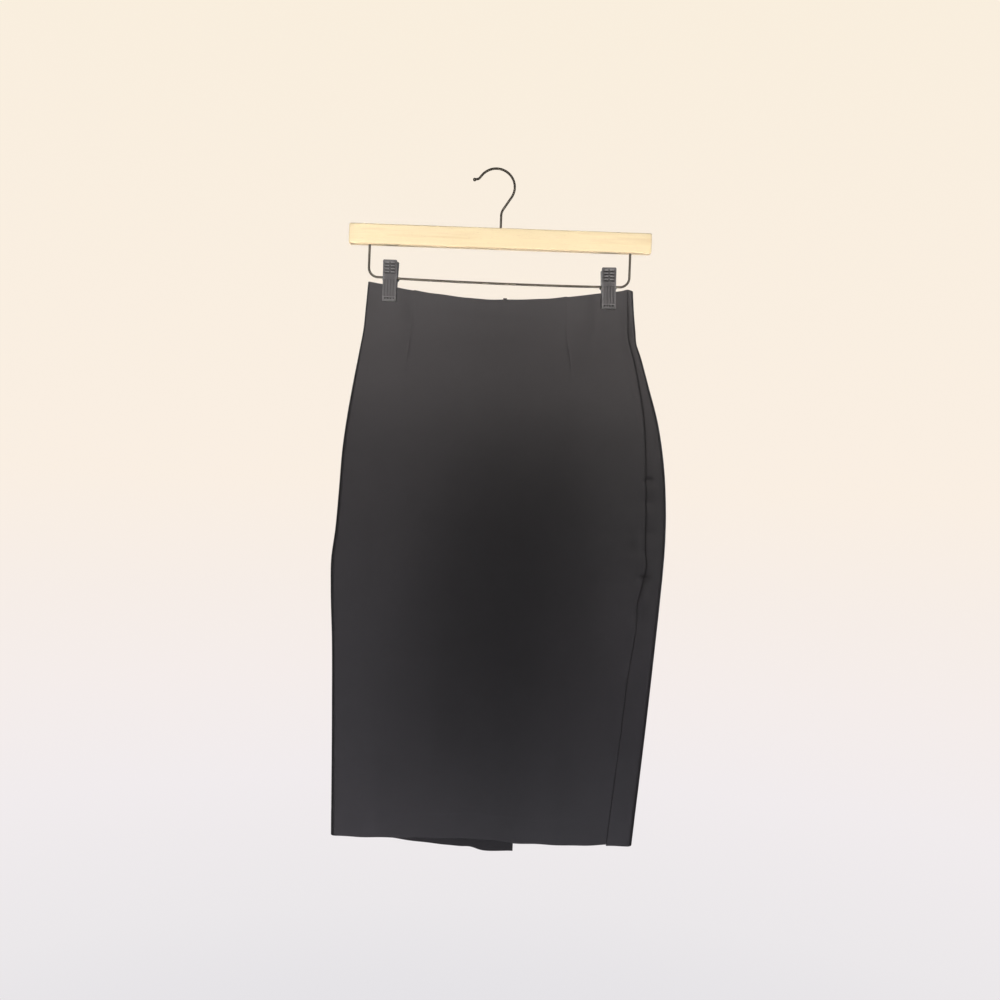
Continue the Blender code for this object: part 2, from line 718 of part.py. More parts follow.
# A jaw's outline from the side: how far out from the clips' plane, and the height over the rail.
JAW_GRIP = PRESSED + GAP
JAW_WAIST = WIRE_R + 0.0004
JAW_TIP_H, JAW_TOP_H, JAW_PIVOT_H = -0.0275, 0.0212, 0.003
PAD_INNER, PAD_OUTER, PAD_FOOT = 0.0060, 0.0084, 0.0054
JAW_OUTLINE = (
    (JAW_GRIP, JAW_TIP_H),
    (JAW_GRIP, -0.012),
    (JAW_WAIST, -0.004),
    (JAW_WAIST, JAW_PIVOT_H),
    (PAD_INNER, JAW_TOP_H),
    (PAD_OUTER, JAW_TOP_H),
    (PAD_FOOT, 0.0025),
    (0.0048, -0.006),
    (0.0042, JAW_TIP_H + 0.0012),
    (0.0034, JAW_TIP_H),
)
RIB_ROWS, RIB_PITCH, RIB_TOP_H = 4, 0.0036, 0.0176
RIB_HALF, RIB_HEIGHT, RIB_DEPTH, RIB_X = 0.0027, 0.0019, 0.0008, 0.0033
GROOVES, GROOVE_PITCH, GROOVE_HALF, GROOVE_DEPTH = 4, 0.0032, 0.0006, 0.0005
GROOVE_TOP_H, GROOVE_END_H = -0.001, -0.0222
PIT_HALF, PIT_DEPTH = 0.0008, 0.0010
JAW_EDGE = 0.0006


def outer_face(height):
    """How far out a jaw's outer face lies at a height over the rail."""
    outer = JAW_OUTLINE[5:9]
    heights = [point[1] for point in reversed(outer)]
    outs = [point[0] for point in reversed(outer)]
    return float(np.interp(height, heights, outs))


def jaw_recesses():
    """Boxes across, out and up: the pad's finger grips, and the grooves with a pit at each end."""
    out = 0.012
    boxes = []
    for row in range(RIB_ROWS):
        height = RIB_TOP_H - row * RIB_PITCH
        floor = outer_face(height) - RIB_DEPTH
        for x in (-RIB_X, RIB_X):
            boxes.append(((x - RIB_HALF, floor, height - RIB_HEIGHT / 2),
                          (x + RIB_HALF, out, height + RIB_HEIGHT / 2)))
    for groove in range(GROOVES):
        x = (groove - (GROOVES - 1) / 2) * GROOVE_PITCH
        floor = outer_face(GROOVE_END_H) - GROOVE_DEPTH
        boxes.append(((x - GROOVE_HALF, floor, GROOVE_END_H), (x + GROOVE_HALF, out, GROOVE_TOP_H)))
        boxes.append(((x - PIT_HALF, floor - PIT_DEPTH + GROOVE_DEPTH, GROOVE_END_H - 2 * PIT_HALF),
                      (x + PIT_HALF, out, GROOVE_END_H - PIT_HALF / 4)))
    return boxes


def make_jaw(name, clip_x, side, parts, cutters, material):
    """side is -1 for the front jaw and 1 for the back one."""
    at = Vector((clip_x, 0.0, RAIL_Z))
    plate = flat_piece(name, JAW_OUTLINE, 2 * CLIP_HALF, material, parts)
    plate.matrix_world = standing_on_edge(at, side)
    jaw = as_mesh(plate)
    bevel(jaw, JAW_EDGE, 1)
    boxes = []
    for low, high in jaw_recesses():
        ys = sorted((side * low[1], side * high[1]))
        boxes.append((at + Vector((low[0], ys[0], low[2])), at + Vector((high[0], ys[1], high[2]))))
    cutter = add_object(name + "_recesses", box_mesh(name + "_recesses", boxes), material, parts)
    keep_as_helper(cutter, cutters)
    boolean(jaw, cutter, "DIFFERENCE")


def spring_path():
    """Up one pad, over between the pads and down the other: out and height."""
    rise = (PAD_INNER - JAW_WAIST) / (JAW_TOP_H - JAW_PIVOT_H)
    inset = GAP + SPRING_WALL
    foot_h, shoulder_h, arch = 0.0045, 0.0150, 0.0045
    foot = JAW_WAIST + rise * (foot_h - JAW_PIVOT_H) - inset
    shoulder = JAW_WAIST + rise * (shoulder_h - JAW_PIVOT_H) - inset
    over = [(shoulder * math.cos(a), shoulder_h + arch * math.sin(a)) for a in np.linspace(0, math.pi, 9)]
    return [(foot, foot_h)] + over + [(-foot, foot_h)]


def make_spring(name, clip_x, parts, material):
    builder = bmesh.new()
    rows = [[builder.verts.new((clip_x + x, out, RAIL_Z + height)) for out, height in spring_path()]
            for x in (-SPRING_WIDTH / 2, SPRING_WIDTH / 2)]
    for a, b, c, d in zip(rows[0], rows[1], rows[1][1:], rows[0][1:]):
        builder.faces.new((a, b, c, d))
    mesh = mesh_from(builder, name)
    smooth(mesh)
    spring = add_object(name, mesh, material, parts)
    solidify(spring, SPRING_WALL, 0.0)


def make_hanger(parts, cutters, materials):
    make_bar(parts, cutters, materials["pale_wood"])
    make_hook(parts, cutters, materials["dark_wire"])
    wire("clip_rail", rail_path(), WIRE_R, materials["dark_wire"], parts)
    for name, clip_x in CLIP_X.items():
        make_jaw(name + "_front_jaw", clip_x, -1, parts, cutters, materials["black_plastic"])
        make_jaw(name + "_back_jaw", clip_x, 1, parts, cutters, materials["black_plastic"])
        make_spring(name + "_spring", clip_x, parts, materials["spring_steel"])


def main():
    clear_scene()
    parts = new_collection("pencil_skirt")
    cutters = new_collection("cutters")
    materials = {name: new_material(name, *look) for name, look in COLOURS.items()}
    make_panels(parts, materials["black_cloth"])
    make_zip_tape(parts, materials["black_cloth"])
    make_slider(parts, cutters, materials["zip_metal"])
    make_pull(parts, cutters, materials["zip_metal"])
    make_hanger(parts, cutters, materials)


main()
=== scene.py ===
"""The looks of a black pencil skirt that hangs by two clips from a wooden skirt hanger.

Metres, in the part's own frame: +Z up, X along the hanger's bar, the skirt's front facing -Y, and the
origin at the hook's seat. The cloth repeats the part's form, worked out finely, with its seams, darts
and creases. "Left" and "right" in the name of a panel or clip are the wearer's; elsewhere they are the
viewer's. A drop is measured down from the waist's ends.
"""

import math
from collections import namedtuple

import bmesh
import bpy
import numpy as np
from mathutils import Matrix, Vector


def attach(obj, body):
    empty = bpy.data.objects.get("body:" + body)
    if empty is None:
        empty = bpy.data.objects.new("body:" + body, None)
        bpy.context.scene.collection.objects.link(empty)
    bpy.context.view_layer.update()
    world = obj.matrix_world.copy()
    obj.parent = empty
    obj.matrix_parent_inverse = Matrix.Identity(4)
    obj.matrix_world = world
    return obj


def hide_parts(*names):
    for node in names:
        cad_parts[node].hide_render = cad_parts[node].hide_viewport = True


# ---------------------------------------------------------------- the part's own dimensions
GAP = 0.0003
WALL = 0.0015
PRESSED = WALL + GAP / 2

WIRE_R = 0.0014
HANGER_X = 0.007
BAR_LENGTH = 0.355
BAR_DEPTH = 0.012
BAR_HEIGHT = 0.024
BAR_TOP_Z = -0.0694
BAR_UNDER_Z = BAR_TOP_Z - BAR_HEIGHT
STEM_SOCKET = 0.012
RAIL_SOCKET = 0.010

HOOK_R = 0.0218
HOOK_END_DEG = 142.0
HOOK_NECK_Z = -0.0498
HOOK_NECK_R = 0.014
HOOK_TIP = (-0.0256, -0.0124)
HOOK_TIP_R = 0.004
HOOK_BALL_R = 0.0021
HOOK_FLICK = 0.0055

RAIL_HALF = 0.1533
RAIL_Z = -0.1330
RAIL_SAG = 0.0018
RAIL_CORNER_R = 0.011

CLIP_HALF = 0.008
CLIP_X = {"clip_right": -0.1208, "clip_left": 0.1361}

WAIST_Z = -0.1381
SKIRT_LENGTH = 0.650
WAIST_MID_X = -0.004
WAIST_HALF = 0.150
WAIST_SAG = 0.0157
WAIST_SAG_POWER = 1.6
SAG_FADE = 0.120
HEM_FADE = 0.150
BACK_RISE = 0.0008

PINCH_HALF = 0.011
PINCH_SIDE = 0.012
PINCH_SPREAD = 0.25
PINCH_DROP = 0.028
PINCH_BELOW = 0.055

DART_LENGTH = 0.104

VENT_DROP = 0.450
UNDERLAP = 0.036
UNDERLAP_SLANT = 0.5
TUCK = WALL + GAP + 0.0002
TUCK_ACROSS = 0.022
TUCK_RISE = 0.026

ZIP_LENGTH = 0.220
ZIP_HALF = 0.006
SLIDER_REACH = 0.009


def metres(*millimetres):
    return tuple(round(value / 1000, 9) for value in millimetres)


def table(kind, *rows):
    """Rows that are written in millimetres."""
    return tuple(kind(*metres(*row)) for row in rows)


# Sections of the tube, as in the part. left, right: the folds, from the hanger's middle. fold: their
# radius. front, back: how far the two sides stand out. ahead, behind: from the folds to the side seams.
Section = namedtuple("Section", "drop left right fold front back ahead behind")
SECTIONS = table(
    Section,
    (0, -152.8, 156.6, 3.1, 5.8, 5.0, 7.8, 4.5),
    (30, -154.7, 159.2, 3.3, 6.8, 5.4, 9.2, 6.0),
    (57, -156.7, 162.3, 3.6, 8.5, 5.8, 10.2, 8.0),
    (80, -160.3, 169.7, 4.0, 10.4, 6.2, 11.3, 10.0),
    (115, -165.9, 180.2, 4.5, 13.2, 6.6, 14.0, 13.5),
    (150, -171.0, 190.5, 5.0, 15.5, 7.2, 18.0, 17.0),
    (195, -176.0, 199.0, 5.3, 17.2, 7.8, 23.0, 21.0),
    (245, -178.5, 203.8, 5.5, 18.0, 8.2, 26.0, 24.5),
    (290, -181.0, 204.8, 5.5, 18.0, 8.4, 26.8, 27.0),
    (328, -184.7, 203.4, 5.5, 17.6, 8.4, 26.5, 28.5),
    (360, -184.0, 201.3, 5.5, 17.0, 8.4, 27.5, 30.0),
    (420, -180.5, 196.9, 5.5, 16.0, 8.4, 30.0, 33.0),
    (500, -177.6, 190.7, 5.5, 14.8, 8.4, 32.5, 36.5),
    (650, -173.3, 177.8, 5.5, 13.4, 8.2, 33.5, 42.0),
)

# Soft flutes that open towards the hem. x: from the hanger's middle. lift: out, at the hem.
Flute = namedtuple("Flute", "x half lift start")
FLUTES = {
    "front": table(Flute, (-128, 26, 2.6, 430), (-86, 24, -1.4, 470), (-20, 40, -2.2, 360),
                   (50, 30, 1.8, 400), (118, 24, 2.6, 450), (150, 18, -1.6, 500)),
    "back": table(Flute, (-110, 35, 1.6, 400), (30, 45, 2.0, 380), (125, 30, -1.4, 430)),
}

# How much lower than the nominal hem each panel's edge hangs, by x from the hanger's middle.
HEM_LINES = {
    "front_panel": (metres(-173.3, -128, -90, -60, -20, 15, 36, 78, 122, 151, 177.8),
                    metres(0, -1.6, -1.4, -3.0, -3.6, -3.0, -1.3, 0, -0.4, -1.2, 0)),
    "back_panel_right": (metres(-173.3, -120, -80, -30, 6, 22, 45),
                         metres(0, 2.6, 7.2, 11.5, 16.0, 16.6, 16.0)),
    "back_panel_left": (metres(-40, 5, 100, 177.8), metres(3, 3, 1, 0)),
}

# ---------------------------------------------------------------- what the looks add to the cloth
CLOTH = 0.0013  # the shell's thickness
SEAM_ROUND = 0.0003  # how far from a seam the cloth begins to turn in
SEAM_GAP = 0.00004
WIDER = (0.0045, 0.0095)  # the soft folds stand out a little past the solid's, left and right
GIRTH_SAMPLES = 700
ROW_COUNT = 236
FRONT_COLUMNS = 176
BACK_COLUMNS = 96
WRAP_COLUMNS = 26  # of the strip that goes round a fold to its seam
UNDERLAP_COLUMNS = 22
UV_PER_METRE = 10
MM_PER_UV = 1000 / UV_PER_METRE
# the share by which the cloth's inside face is darker and rougher
INSIDE_DARKER = 0.55

# Creases, given one by one. at, drop: the middle, at being x from the hanger's middle, or for puckers how
# far beyond a seam. across, down: half sizes. lift: out. lean: to the right, per metre down.
Crease = namedtuple("Crease", "at drop across down lift lean", defaults=(0.0,))
FRONT_CREASES = table(
    Crease,
    # what the two clips pull
    (-128, 50, 16, 16, 0.55), (-112, 46, 5, 24, -0.35, 550), (-104, 58, 7, 30, 0.40, 620),
    (-143, 48, 5, 24, -0.30, -280), (113, 44, 5, 22, -0.35, -500), (103, 56, 7, 30, 0.42, -580),
    (142, 46, 4, 20, -0.30, 200), (129, 52, 12, 16, 0.40),
    # the waist's slack between the clips
    (-40, 30, 46, 7, 0.30), (36, 34, 40, 7.5, 0.26), (-4, 52, 60, 10, -0.30),
    # fullness below the darts' points
    (-107, 137, 14, 30, 0.70, 20), (88.5, 139, 16, 34, 0.65, -20), (-92, 120, 8, 34, 0.30, 100),
    (76, 92, 4.8, 26, 0.42),
    # the front's middle and the hips
    (-52, 112, 18, 50, -0.40, 100), (-28, 128, 10, 40, 0.36, 60), (20, 150, 26, 60, 0.34, -80),
    (130, 150, 20, 50, 0.55, 350), (146, 205, 11, 46, -0.50, 200), (-140, 190, 14, 60, 0.50, -120),
    (-118, 236, 12, 70, -0.45, -80), (-60, 232, 22, 55, 0.40, 60), (60, 248, 24, 60, -0.42, -50),
    (110, 262, 16, 52, 0.48, 100),
    # soft level drags towards the puckered seam
    (152, 262, 30, 6, 0.34), (150, 284, 34, 6.5, -0.36), (156, 312, 30, 7, 0.32), (148, 342, 36, 8, -0.34),
    # the long lower front
    (-150, 330, 11, 80, 0.50, 30), (-131, 360, 10, 90, -0.40, 20), (-96, 352, 16, 75, 0.42, 50),
    (-20, 330, 28, 70, -0.36), (30, 372, 20, 80, 0.42, -40), (88, 388, 15, 85, -0.44, -50),
    (128, 400, 14, 70, 0.52, -100), (-60, 462, 18, 80, 0.46, 30), (-150, 480, 10, 90, -0.40, 20),
    (4, 500, 16, 90, 0.40, -20), (76, 520, 14, 80, -0.46, -50), (100, 560, 12, 70, 0.50, -40),
    (-108, 580, 14, 70, -0.50, 20), (-48, 600, 20, 60, 0.48, 20), (134, 596, 10, 60, -0.44, -50),
    (22, 620, 14, 50, -0.40),
)
BACK_CREASES = table(
    Crease,
    (-128, 50, 14, 16, 0.50), (-110, 48, 5, 26, -0.32, 500), (-101, 60, 8, 32, 0.36, 600),
    (129, 50, 14, 16, 0.50), (112, 47, 5, 24, -0.34, -520), (101, 60, 7, 30, 0.38, -600),
    (-50, 34, 44, 8, 0.26), (58, 38, 34, 8, 0.26),
    (-70, 110, 18, 50, 0.50, 100), (-110, 160, 14, 50, -0.45, -100), (-40, 180, 14, 60, -0.40, 40),
    (80, 130, 18, 50, 0.50, 100), (125, 190, 14, 55, -0.46, 200), (62, 220, 11, 60, 0.42, 50),
    (152, 240, 14, 50, 0.48, 100), (0, 250, 14, 70, 0.44, 20), (-144, 270, 12, 70, 0.48),
    (-90, 300, 20, 60, 0.46, 30), (95, 330, 16, 70, -0.46, -40), (-56, 380, 13, 70, -0.44, 20),
    (138, 370, 14, 80, 0.50, -80), (18, 400, 12, 60, -0.40, 40), (-122, 420, 12, 80, -0.46, 20),
    (70, 440, 12, 70, 0.44, -40), (110, 500, 14, 80, -0.48, -40), (-80, 520, 16, 80, 0.50, 10),
    (-140, 560, 10, 70, 0.46, 20), (-20, 570, 12, 70, -0.42), (144, 580, 11, 60, 0.48, -60),
    (84, 600, 10, 50, 0.46, -30),
)

RIGHT_DIMPLES = metres(221.4, 336.2)  # the drops of the two deepest puckers
RIGHT_PUCKERS = table(
    Crease,
    (0, 46, 6, 5, -0.22), (1, 71, 6, 6, 0.24), (0, 92, 7, 4, -0.22), (-1, 118, 7, 7, 0.26),
    (1, 143, 7, 4.5, -0.26), (-2, 168, 8, 8, 0.30), (4, 197, 7, 8, 0.40), (3, 221.4, 6, 4, -1.55),
    (5, 232, 8, 4.5, 0.40), (2, 247, 8, 4.2, -1.10), (5, 262, 9, 5.2, 0.55), (1, 283, 10, 5, -0.85),
    (-11, 288, 6, 12, 0.85), (2, 305.5, 10, 4.2, -0.70), (4, 320, 9, 5.5, 0.60),
    (0.5, 336.2, 7, 4, -1.55), (6.5, 360, 6, 11, 1.10), (-1, 382, 5, 8, -0.80), (4, 404, 8, 9, 0.40),
    (-2, 430, 8, 7, -0.34), (2, 462, 9, 10, 0.36), (1, 492, 8, 8, -0.36), (6, 517, 9, 10, 0.40),
    (0, 548, 9, 7, -0.40), (-3, 574, 8, 9, 0.34), (2, 600, 8, 7, -0.30),
)
LEFT_PUCKERS = table(
    Crease,
    (0, 60, 6, 6, -0.22), (0, 95, 7, 7, 0.26), (1, 132, 7, 5, -0.26), (-1, 176, 8, 9, 0.34),
    (2, 214, 8, 5, -0.46), (3, 246, 9, 8, 0.50), (0, 271, 9, 4.5, -0.60), (-3, 300, 9, 6, 0.50),
    (1, 322, 8, 4.5, -0.50), (4, 358, 9, 9, 0.44), (0, 396, 8, 6, -0.36), (-2, 446, 9, 10, 0.34),
    (2, 502, 9, 8, -0.34), (0, 560, 8, 9, 0.30), (1, 610, 8, 7, -0.28),
)
CENTRE_PUCKERS = table(
    Crease,
    (0, 34, 10, 6, 0.30), (1, 58, 10, 5, -0.34), (-2, 83, 11, 6, 0.36), (1, 112, 11, 5.5, -0.42),
    (0, 138, 12, 7, 0.40), (-1, 170, 11, 6, -0.40), (2, 202, 12, 8, 0.44), (0, 224.5, 9, 4, -0.70),
    (1, 256, 10, 8, 0.34), (0, 300, 9, 7, -0.30), (-1, 352, 10, 10, 0.30), (1, 405, 9, 8, -0.32),
    (0, 446, 8, 5, -0.50),
)

SEAM_DIP = 0.00024  # how far in the stitched seam draws the cloth, and over what half width
SEAM_DIP_HALF = 0.0016
ALLOWANCE = 0.011  # the pressed-open allowance under the cloth, which shows through as a low step
ALLOWANCE_LIFT = 0.00013
ALLOWANCE_SOFT = 0.0018
ALLOWANCE_FROM, ALLOWANCE_GROWS = 0.0012, 0.0016
FADE_DROP, FADE_OVER, FADE_SHARE = 0.325, 0.060, 0.88  # where the seams fade, and by how much
HEM_TURN = 0.030  # the hem's turn-up, and what shows of its upper edge
HEM_TURN_LIFT = 0.00008
HEM_TURN_PULL = 0.00004
HEM_TURN_SOFT = 0.0022
HEM_STITCH_HALF, HEM_STITCH_RADIAN = 0.0020, 0.0031
HELD_CREASES, HELD_DARTS = 0.25, 0.3  # the shares that show where a clip holds the cloth
FOLD_FREE = 0.016  # creases end this near a fold
EDGE_WEAR_AND_HIGHLIGHT_HALF = 0.0022
# the half width of the painted shade along the seams
SEAM_SHADE_HALF = 0.0008
VENT_TOP_SOFT = 0.012
# At the waist the right seam, and the seams' painted shade, start from a share and grow over a drop.
RIGHT_TOP_SHARE, RIGHT_TOP_DROP, RIGHT_TOP_OVER = 0.3, 0.008, 0.045
SEAM_SHADE_TOP_SHARE, SEAM_SHADE_TOP_DROP, SEAM_SHADE_TOP_OVER = 0.4, 0.006, 0.020

# share: of the front's width. toward: where the dart's fold lies. dimple: its depth at the point.
# shorter: than DART_LENGTH. step: of the waist's edge.
Dart = namedtuple("Dart", "share toward dimple shorter step")
DARTS = (Dart(0.183, 1.0, 0.00062, 0.0, 0.0007), Dart(0.769, -1.0, 0.000434, 0.002, -0.0006))
DART_DEPTH = 0.00055
DART_SHARP = 0.0011
DART_GROWS, DART_FADES = 0.012, 0.020  # over what drops its line begins and ends
DART_SHALLOW, DART_DEEPER, DART_DEEP_DROP = 0.22, 1.05, 0.040
DART_FOLD_OFF, DART_FOLD_HALF, DART_FOLD_LIFT = 0.0042, 0.0036, 0.00022
DART_STEP_SOFT, DART_STEP_HALF = 0.003, 0.012
DIMPLE_HALF, DIMPLE_LONGER = 0.0036, 1.15
RIDGE_DROP, RIDGE_DOWN, RIDGE_HALF, RIDGE_HEIGHT = 0.128, 0.014, 0.0075, 0.00026

# Bumps in a row: middle, half width, height.
SEAM_JOGS = (
    (0.210, 0.120, -0.0022), (0.322, 0.016, 0.0024), (0.366, 0.014, -0.0030), (0.455, 0.030, -0.0012),
)
FOLD_KINKS = ((0.047, 0.010, 0.0006), (0.062, 0.007, -0.0006))
FOLD_KINK_ACROSS = 0.007
HEM_RISES = {
    "front_panel": ((0.064, 0.024, 0.0012),),
    "back_panel_left": (),
    "back_panel_right": ((-0.010, 0.010, 0.0024), (-0.030, 0.014, 0.0010)),
}
# Where the waist's edge is drawn up: half width, height.
WAIST_RISES = {
    "right_seam": (0.0042, 0.0013),
    "left_seam": (0.0040, 0.0006),
    "left_fold": (0.011, 0.0006),
    "clip": (0.026, 0.0015),
}
# Slow waves along an edge: height, the length of one radian, start.
WAIST_WAVES = ((0.00022, 0.013, 0.6), (0.00014, 0.0057, 0.0))
HEM_WAVES = ((0.00035, 0.017, 0.0), (0.00025, 0.0071, 2.0))
HEM_TURN_WAVES = ((0.0008, 0.021, 0.0), (0.0005, 0.0087, 1.0))
WAIST_UNEVEN_OVER, HEM_UNEVEN_OVER = 0.026, 0.040  # how far from the edge the unevenness reaches

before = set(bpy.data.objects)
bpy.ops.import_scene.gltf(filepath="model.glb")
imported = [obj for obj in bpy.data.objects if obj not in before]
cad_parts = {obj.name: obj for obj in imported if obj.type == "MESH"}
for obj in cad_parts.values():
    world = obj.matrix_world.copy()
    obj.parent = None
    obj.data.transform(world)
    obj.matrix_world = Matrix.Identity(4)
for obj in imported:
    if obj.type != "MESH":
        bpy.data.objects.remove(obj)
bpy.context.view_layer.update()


# ---------------------------------------------------------------- small helpers
def ease(t):
    t = np.clip(t, 0.0, 1.0)
    return t * t * (3 - 2 * t)


def grown_from(share, t):
    """From a share at t = 0 up to the whole at t = 1."""
    return share + (1 - share) * float(ease(t))


def bump(distance, half):
    return np.exp(-((distance / half) ** 2))


def bumps(at, rows):
    return sum(height * bump(at - middle, half) for middle, half, height in rows)


def waves(at, rows):
    return sum(height * np.sin(at / length + start) for height, length, start in rows)


def rounded(near):
    """The share of its thickness that a sheet has near an edge, where near is 0, up to 1."""
    return np.sqrt(1 - (1 - np.clip(near, 0.03, 1.0)) ** 2)


def read_table(keys, values, at):
    """A smooth curve through a table's rows, as the part reads it."""
    keys, values, at = np.asarray(keys), np.asarray(values), np.asarray(at)
    slopes = np.gradient(values, keys)
    index = np.clip(np.searchsorted(keys, at) - 1, 0, len(keys) - 2)
    span = keys[index + 1] - keys[index]
    t = np.clip((at - keys[index]) / span, 0.0, 1.0)
    start = (1 + 2 * t) * (1 - t) ** 2 * values[index] + t * (1 - t) ** 2 * span * slopes[index]
    end = t * t * (3 - 2 * t) * values[index + 1] - t * t * (1 - t) * span * slopes[index + 1]
    return start + end


def closer_at(first, last, marks, count):
    """Places from first to last, standing closer together round each mark: at, half width, closeness."""
    at = np.linspace(first, last, 6000)
    density = np.ones_like(at)
    for mark, half, closer in marks:
        density += closer * bump(at - mark, half)
    filled = np.concatenate([[0.0], np.cumsum((density[1:] + density[:-1]) / 2)])
    places = np.interp(np.linspace(0.0, filled[-1], count), filled, at)
    places[0], places[-1] = first, last
    return places


def new_object(name, mesh, material):
    obj = bpy.data.objects.new(name, mesh)
    bpy.context.scene.collection.objects.link(obj)
    mesh.materials.append(material)
    return obj


def sharpen(mesh, angle_deg):
    mesh.set_sharp_from_angle(angle=math.radians(angle_deg))


def skinned(name, rings, turning=1):
    """A mesh with faces between closed rings of points, one after another, and over both ends.

    turning: 1 or -1, the way the rings go round."""
    builder = bmesh.new()
    rings = [[builder.verts.new(point) for point in ring] for ring in rings]
    for ring, following in zip(rings, rings[1:]):
        for number in range(len(ring)):
            onward = (number + 1) % len(ring)
            builder.faces.new((ring[number], ring[onward], following[onward], following[number]))
    builder.faces.new(rings[0][::turning])
    builder.faces.new(rings[-1][::-turning])
    bmesh.ops.recalc_face_normals(builder, faces=builder.faces)
    mesh = bpy.data.meshes.new(name)
    builder.to_mesh(mesh)
    builder.free()
    mesh.shade_smooth()
    return mesh


def show_instead(obj, node):
    """The piece stands for a node of the part, and moves with the skirt's body."""
    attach(obj, "skirt")
    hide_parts(node)


# ---------------------------------------------------------------- the form of the hung skirt
def pinch(x, drop):
    """1 where a clip presses the two layers together, down to 0 where the tube is free."""
    held = np.zeros_like(x)
    below = max(drop - PINCH_DROP, 0.0)
    side = PINCH_SIDE + PINCH_SPREAD * below
    for clip_x in CLIP_X.values():
        aside = np.maximum(np.abs(x - (clip_x - HANGER_X)) - PINCH_HALF, 0.0) / side
        held = np.maximum(held, np.exp(-aside**2 - (below / PINCH_BELOW) ** 2))
    return held


def half_depth(x, drop, section, side):
    """How far the outer face of the front or back lies from the plane of the clips."""
    across = (x - (section.left + section.right) / 2) / ((section.right - section.left) / 2)
    stands_out = section.front if side == "front" else section.back
    free = section.fold - PRESSED + (stands_out - section.fold) * (1 - across**2)
    fluted = np.zeros_like(x)
    for flute in FLUTES[side]:
        grown = ease((drop - flute.start) / (SKIRT_LENGTH - flute.start))
        fluted = fluted + flute.lift * grown * bump(x - flute.x, flute.half)
    from_fold = np.minimum(x - section.left, section.right - x) / section.fold
    rounding = np.sqrt(1 - np.clip(1 - from_fold, 0.0, 1.0) ** 2)
    return (PRESSED + free * (1 - pinch(x, drop)) + fluted) * rounding


def outward(x, y):
    along_x = np.roll(x[:-1], -1) - np.roll(x[:-1], 1)
    along_y = np.roll(y[:-1], -1) - np.roll(y[:-1], 1)
    length = np.hypot(along_x, along_y)
    out_x, out_y = along_y / length, -along_x / length
    return np.append(out_x, out_x[0]), np.append(out_y, out_y[0])


# The tube's outline at a drop. arc: along it, from the left fold over the front and back, to total.
# fold: the right fold's arc. The two seams and the centre back are arcs too.
Girth = namedtuple("Girth", "drop section x y out_x out_y arc fold total right_seam centre left_seam")


def girth(drop):
    drops = [section.drop for section in SECTIONS]
    section = Section(*(float(read_table(drops, column, drop)) for column in zip(*SECTIONS)))
    turn = np.linspace(0.0, math.pi, GIRTH_SAMPLES)
    across = section.left + (section.right - section.left) * (1 - np.cos(turn)) / 2
    back = half_depth(across, drop, section, "back")
    x = np.concatenate([across, across[::-1][1:]])
    y = np.concatenate([-half_depth(across, drop, section, "front"), back[::-1][1:]])
    arc = np.concatenate([[0.0], np.cumsum(np.hypot(np.diff(x), np.diff(y)))])
    fold, total = arc[GIRTH_SAMPLES - 1], arc[-1]
    right_seam = fold - section.ahead + float(bumps(drop, SEAM_JOGS))
    centre = (fold - section.ahead + total - section.behind) / 2
    left_seam = total - section.behind
    return Girth(drop, section, x, y, *outward(x, y), arc, fold, total, right_seam, centre, left_seam)


def at_arc(outline, arc):
    """x, y and the outward direction of places along a girth."""
    columns = (outline.x, outline.y, outline.out_x, outline.out_y)
    return [np.interp(arc, outline.arc, column) for column in columns]


def drop_line(x, drop, on_back, panel):
    """z of points of the tube, with the waist's sag and the panel's own hem."""
    across = np.clip(np.abs(x - WAIST_MID_X) / WAIST_HALF, 0.0, 1.0)
    sag = WAIST_SAG * (1 - across**WAIST_SAG_POWER)
    sag = sag - np.where(on_back, BACK_RISE * (1 - across**2), 0.0)
    sag *= max(1 - drop / SAG_FADE, 0.0) ** 2
    low = read_table(*HEM_LINES[panel], x) * max(1 - (SKIRT_LENGTH - drop) / HEM_FADE, 0.0) ** 2
    return WAIST_Z - drop - sag - low


def eased_out(x):
    aside = x - WAIST_MID_X
    return x + aside * np.where(aside < 0, WIDER[0], WIDER[1])


# ---------------------------------------------------------------- creases, seams and darts
def crease_lift(at, drop, creases):
    lift = np.zeros_like(at)
    for crease in creases:
        fallen = drop - crease.drop
        if abs(fallen) < 3 * crease.down:
            middle = crease.at + crease.lean * fallen
            lift += crease.lift * bump(at - middle, crease.across) * bump(fallen, crease.down)
    return lift


def seam_lift(past):
    """A stitched seam draws the cloth in, and its pressed-open allowance shows through beside it."""
    off = np.abs(past)
    step = ease((ALLOWANCE - off) / ALLOWANCE_SOFT) * ease((off - ALLOWANCE_FROM) / ALLOWANCE_GROWS)
    return ALLOWANCE_LIFT * step - SEAM_DIP * bump(off, SEAM_DIP_HALF)


def seam_shows(drop):
    """How plainly the seams show: the lower part is pressed flatter."""
    return 1 - FADE_SHARE * float(ease((drop - FADE_DROP) / FADE_OVER))


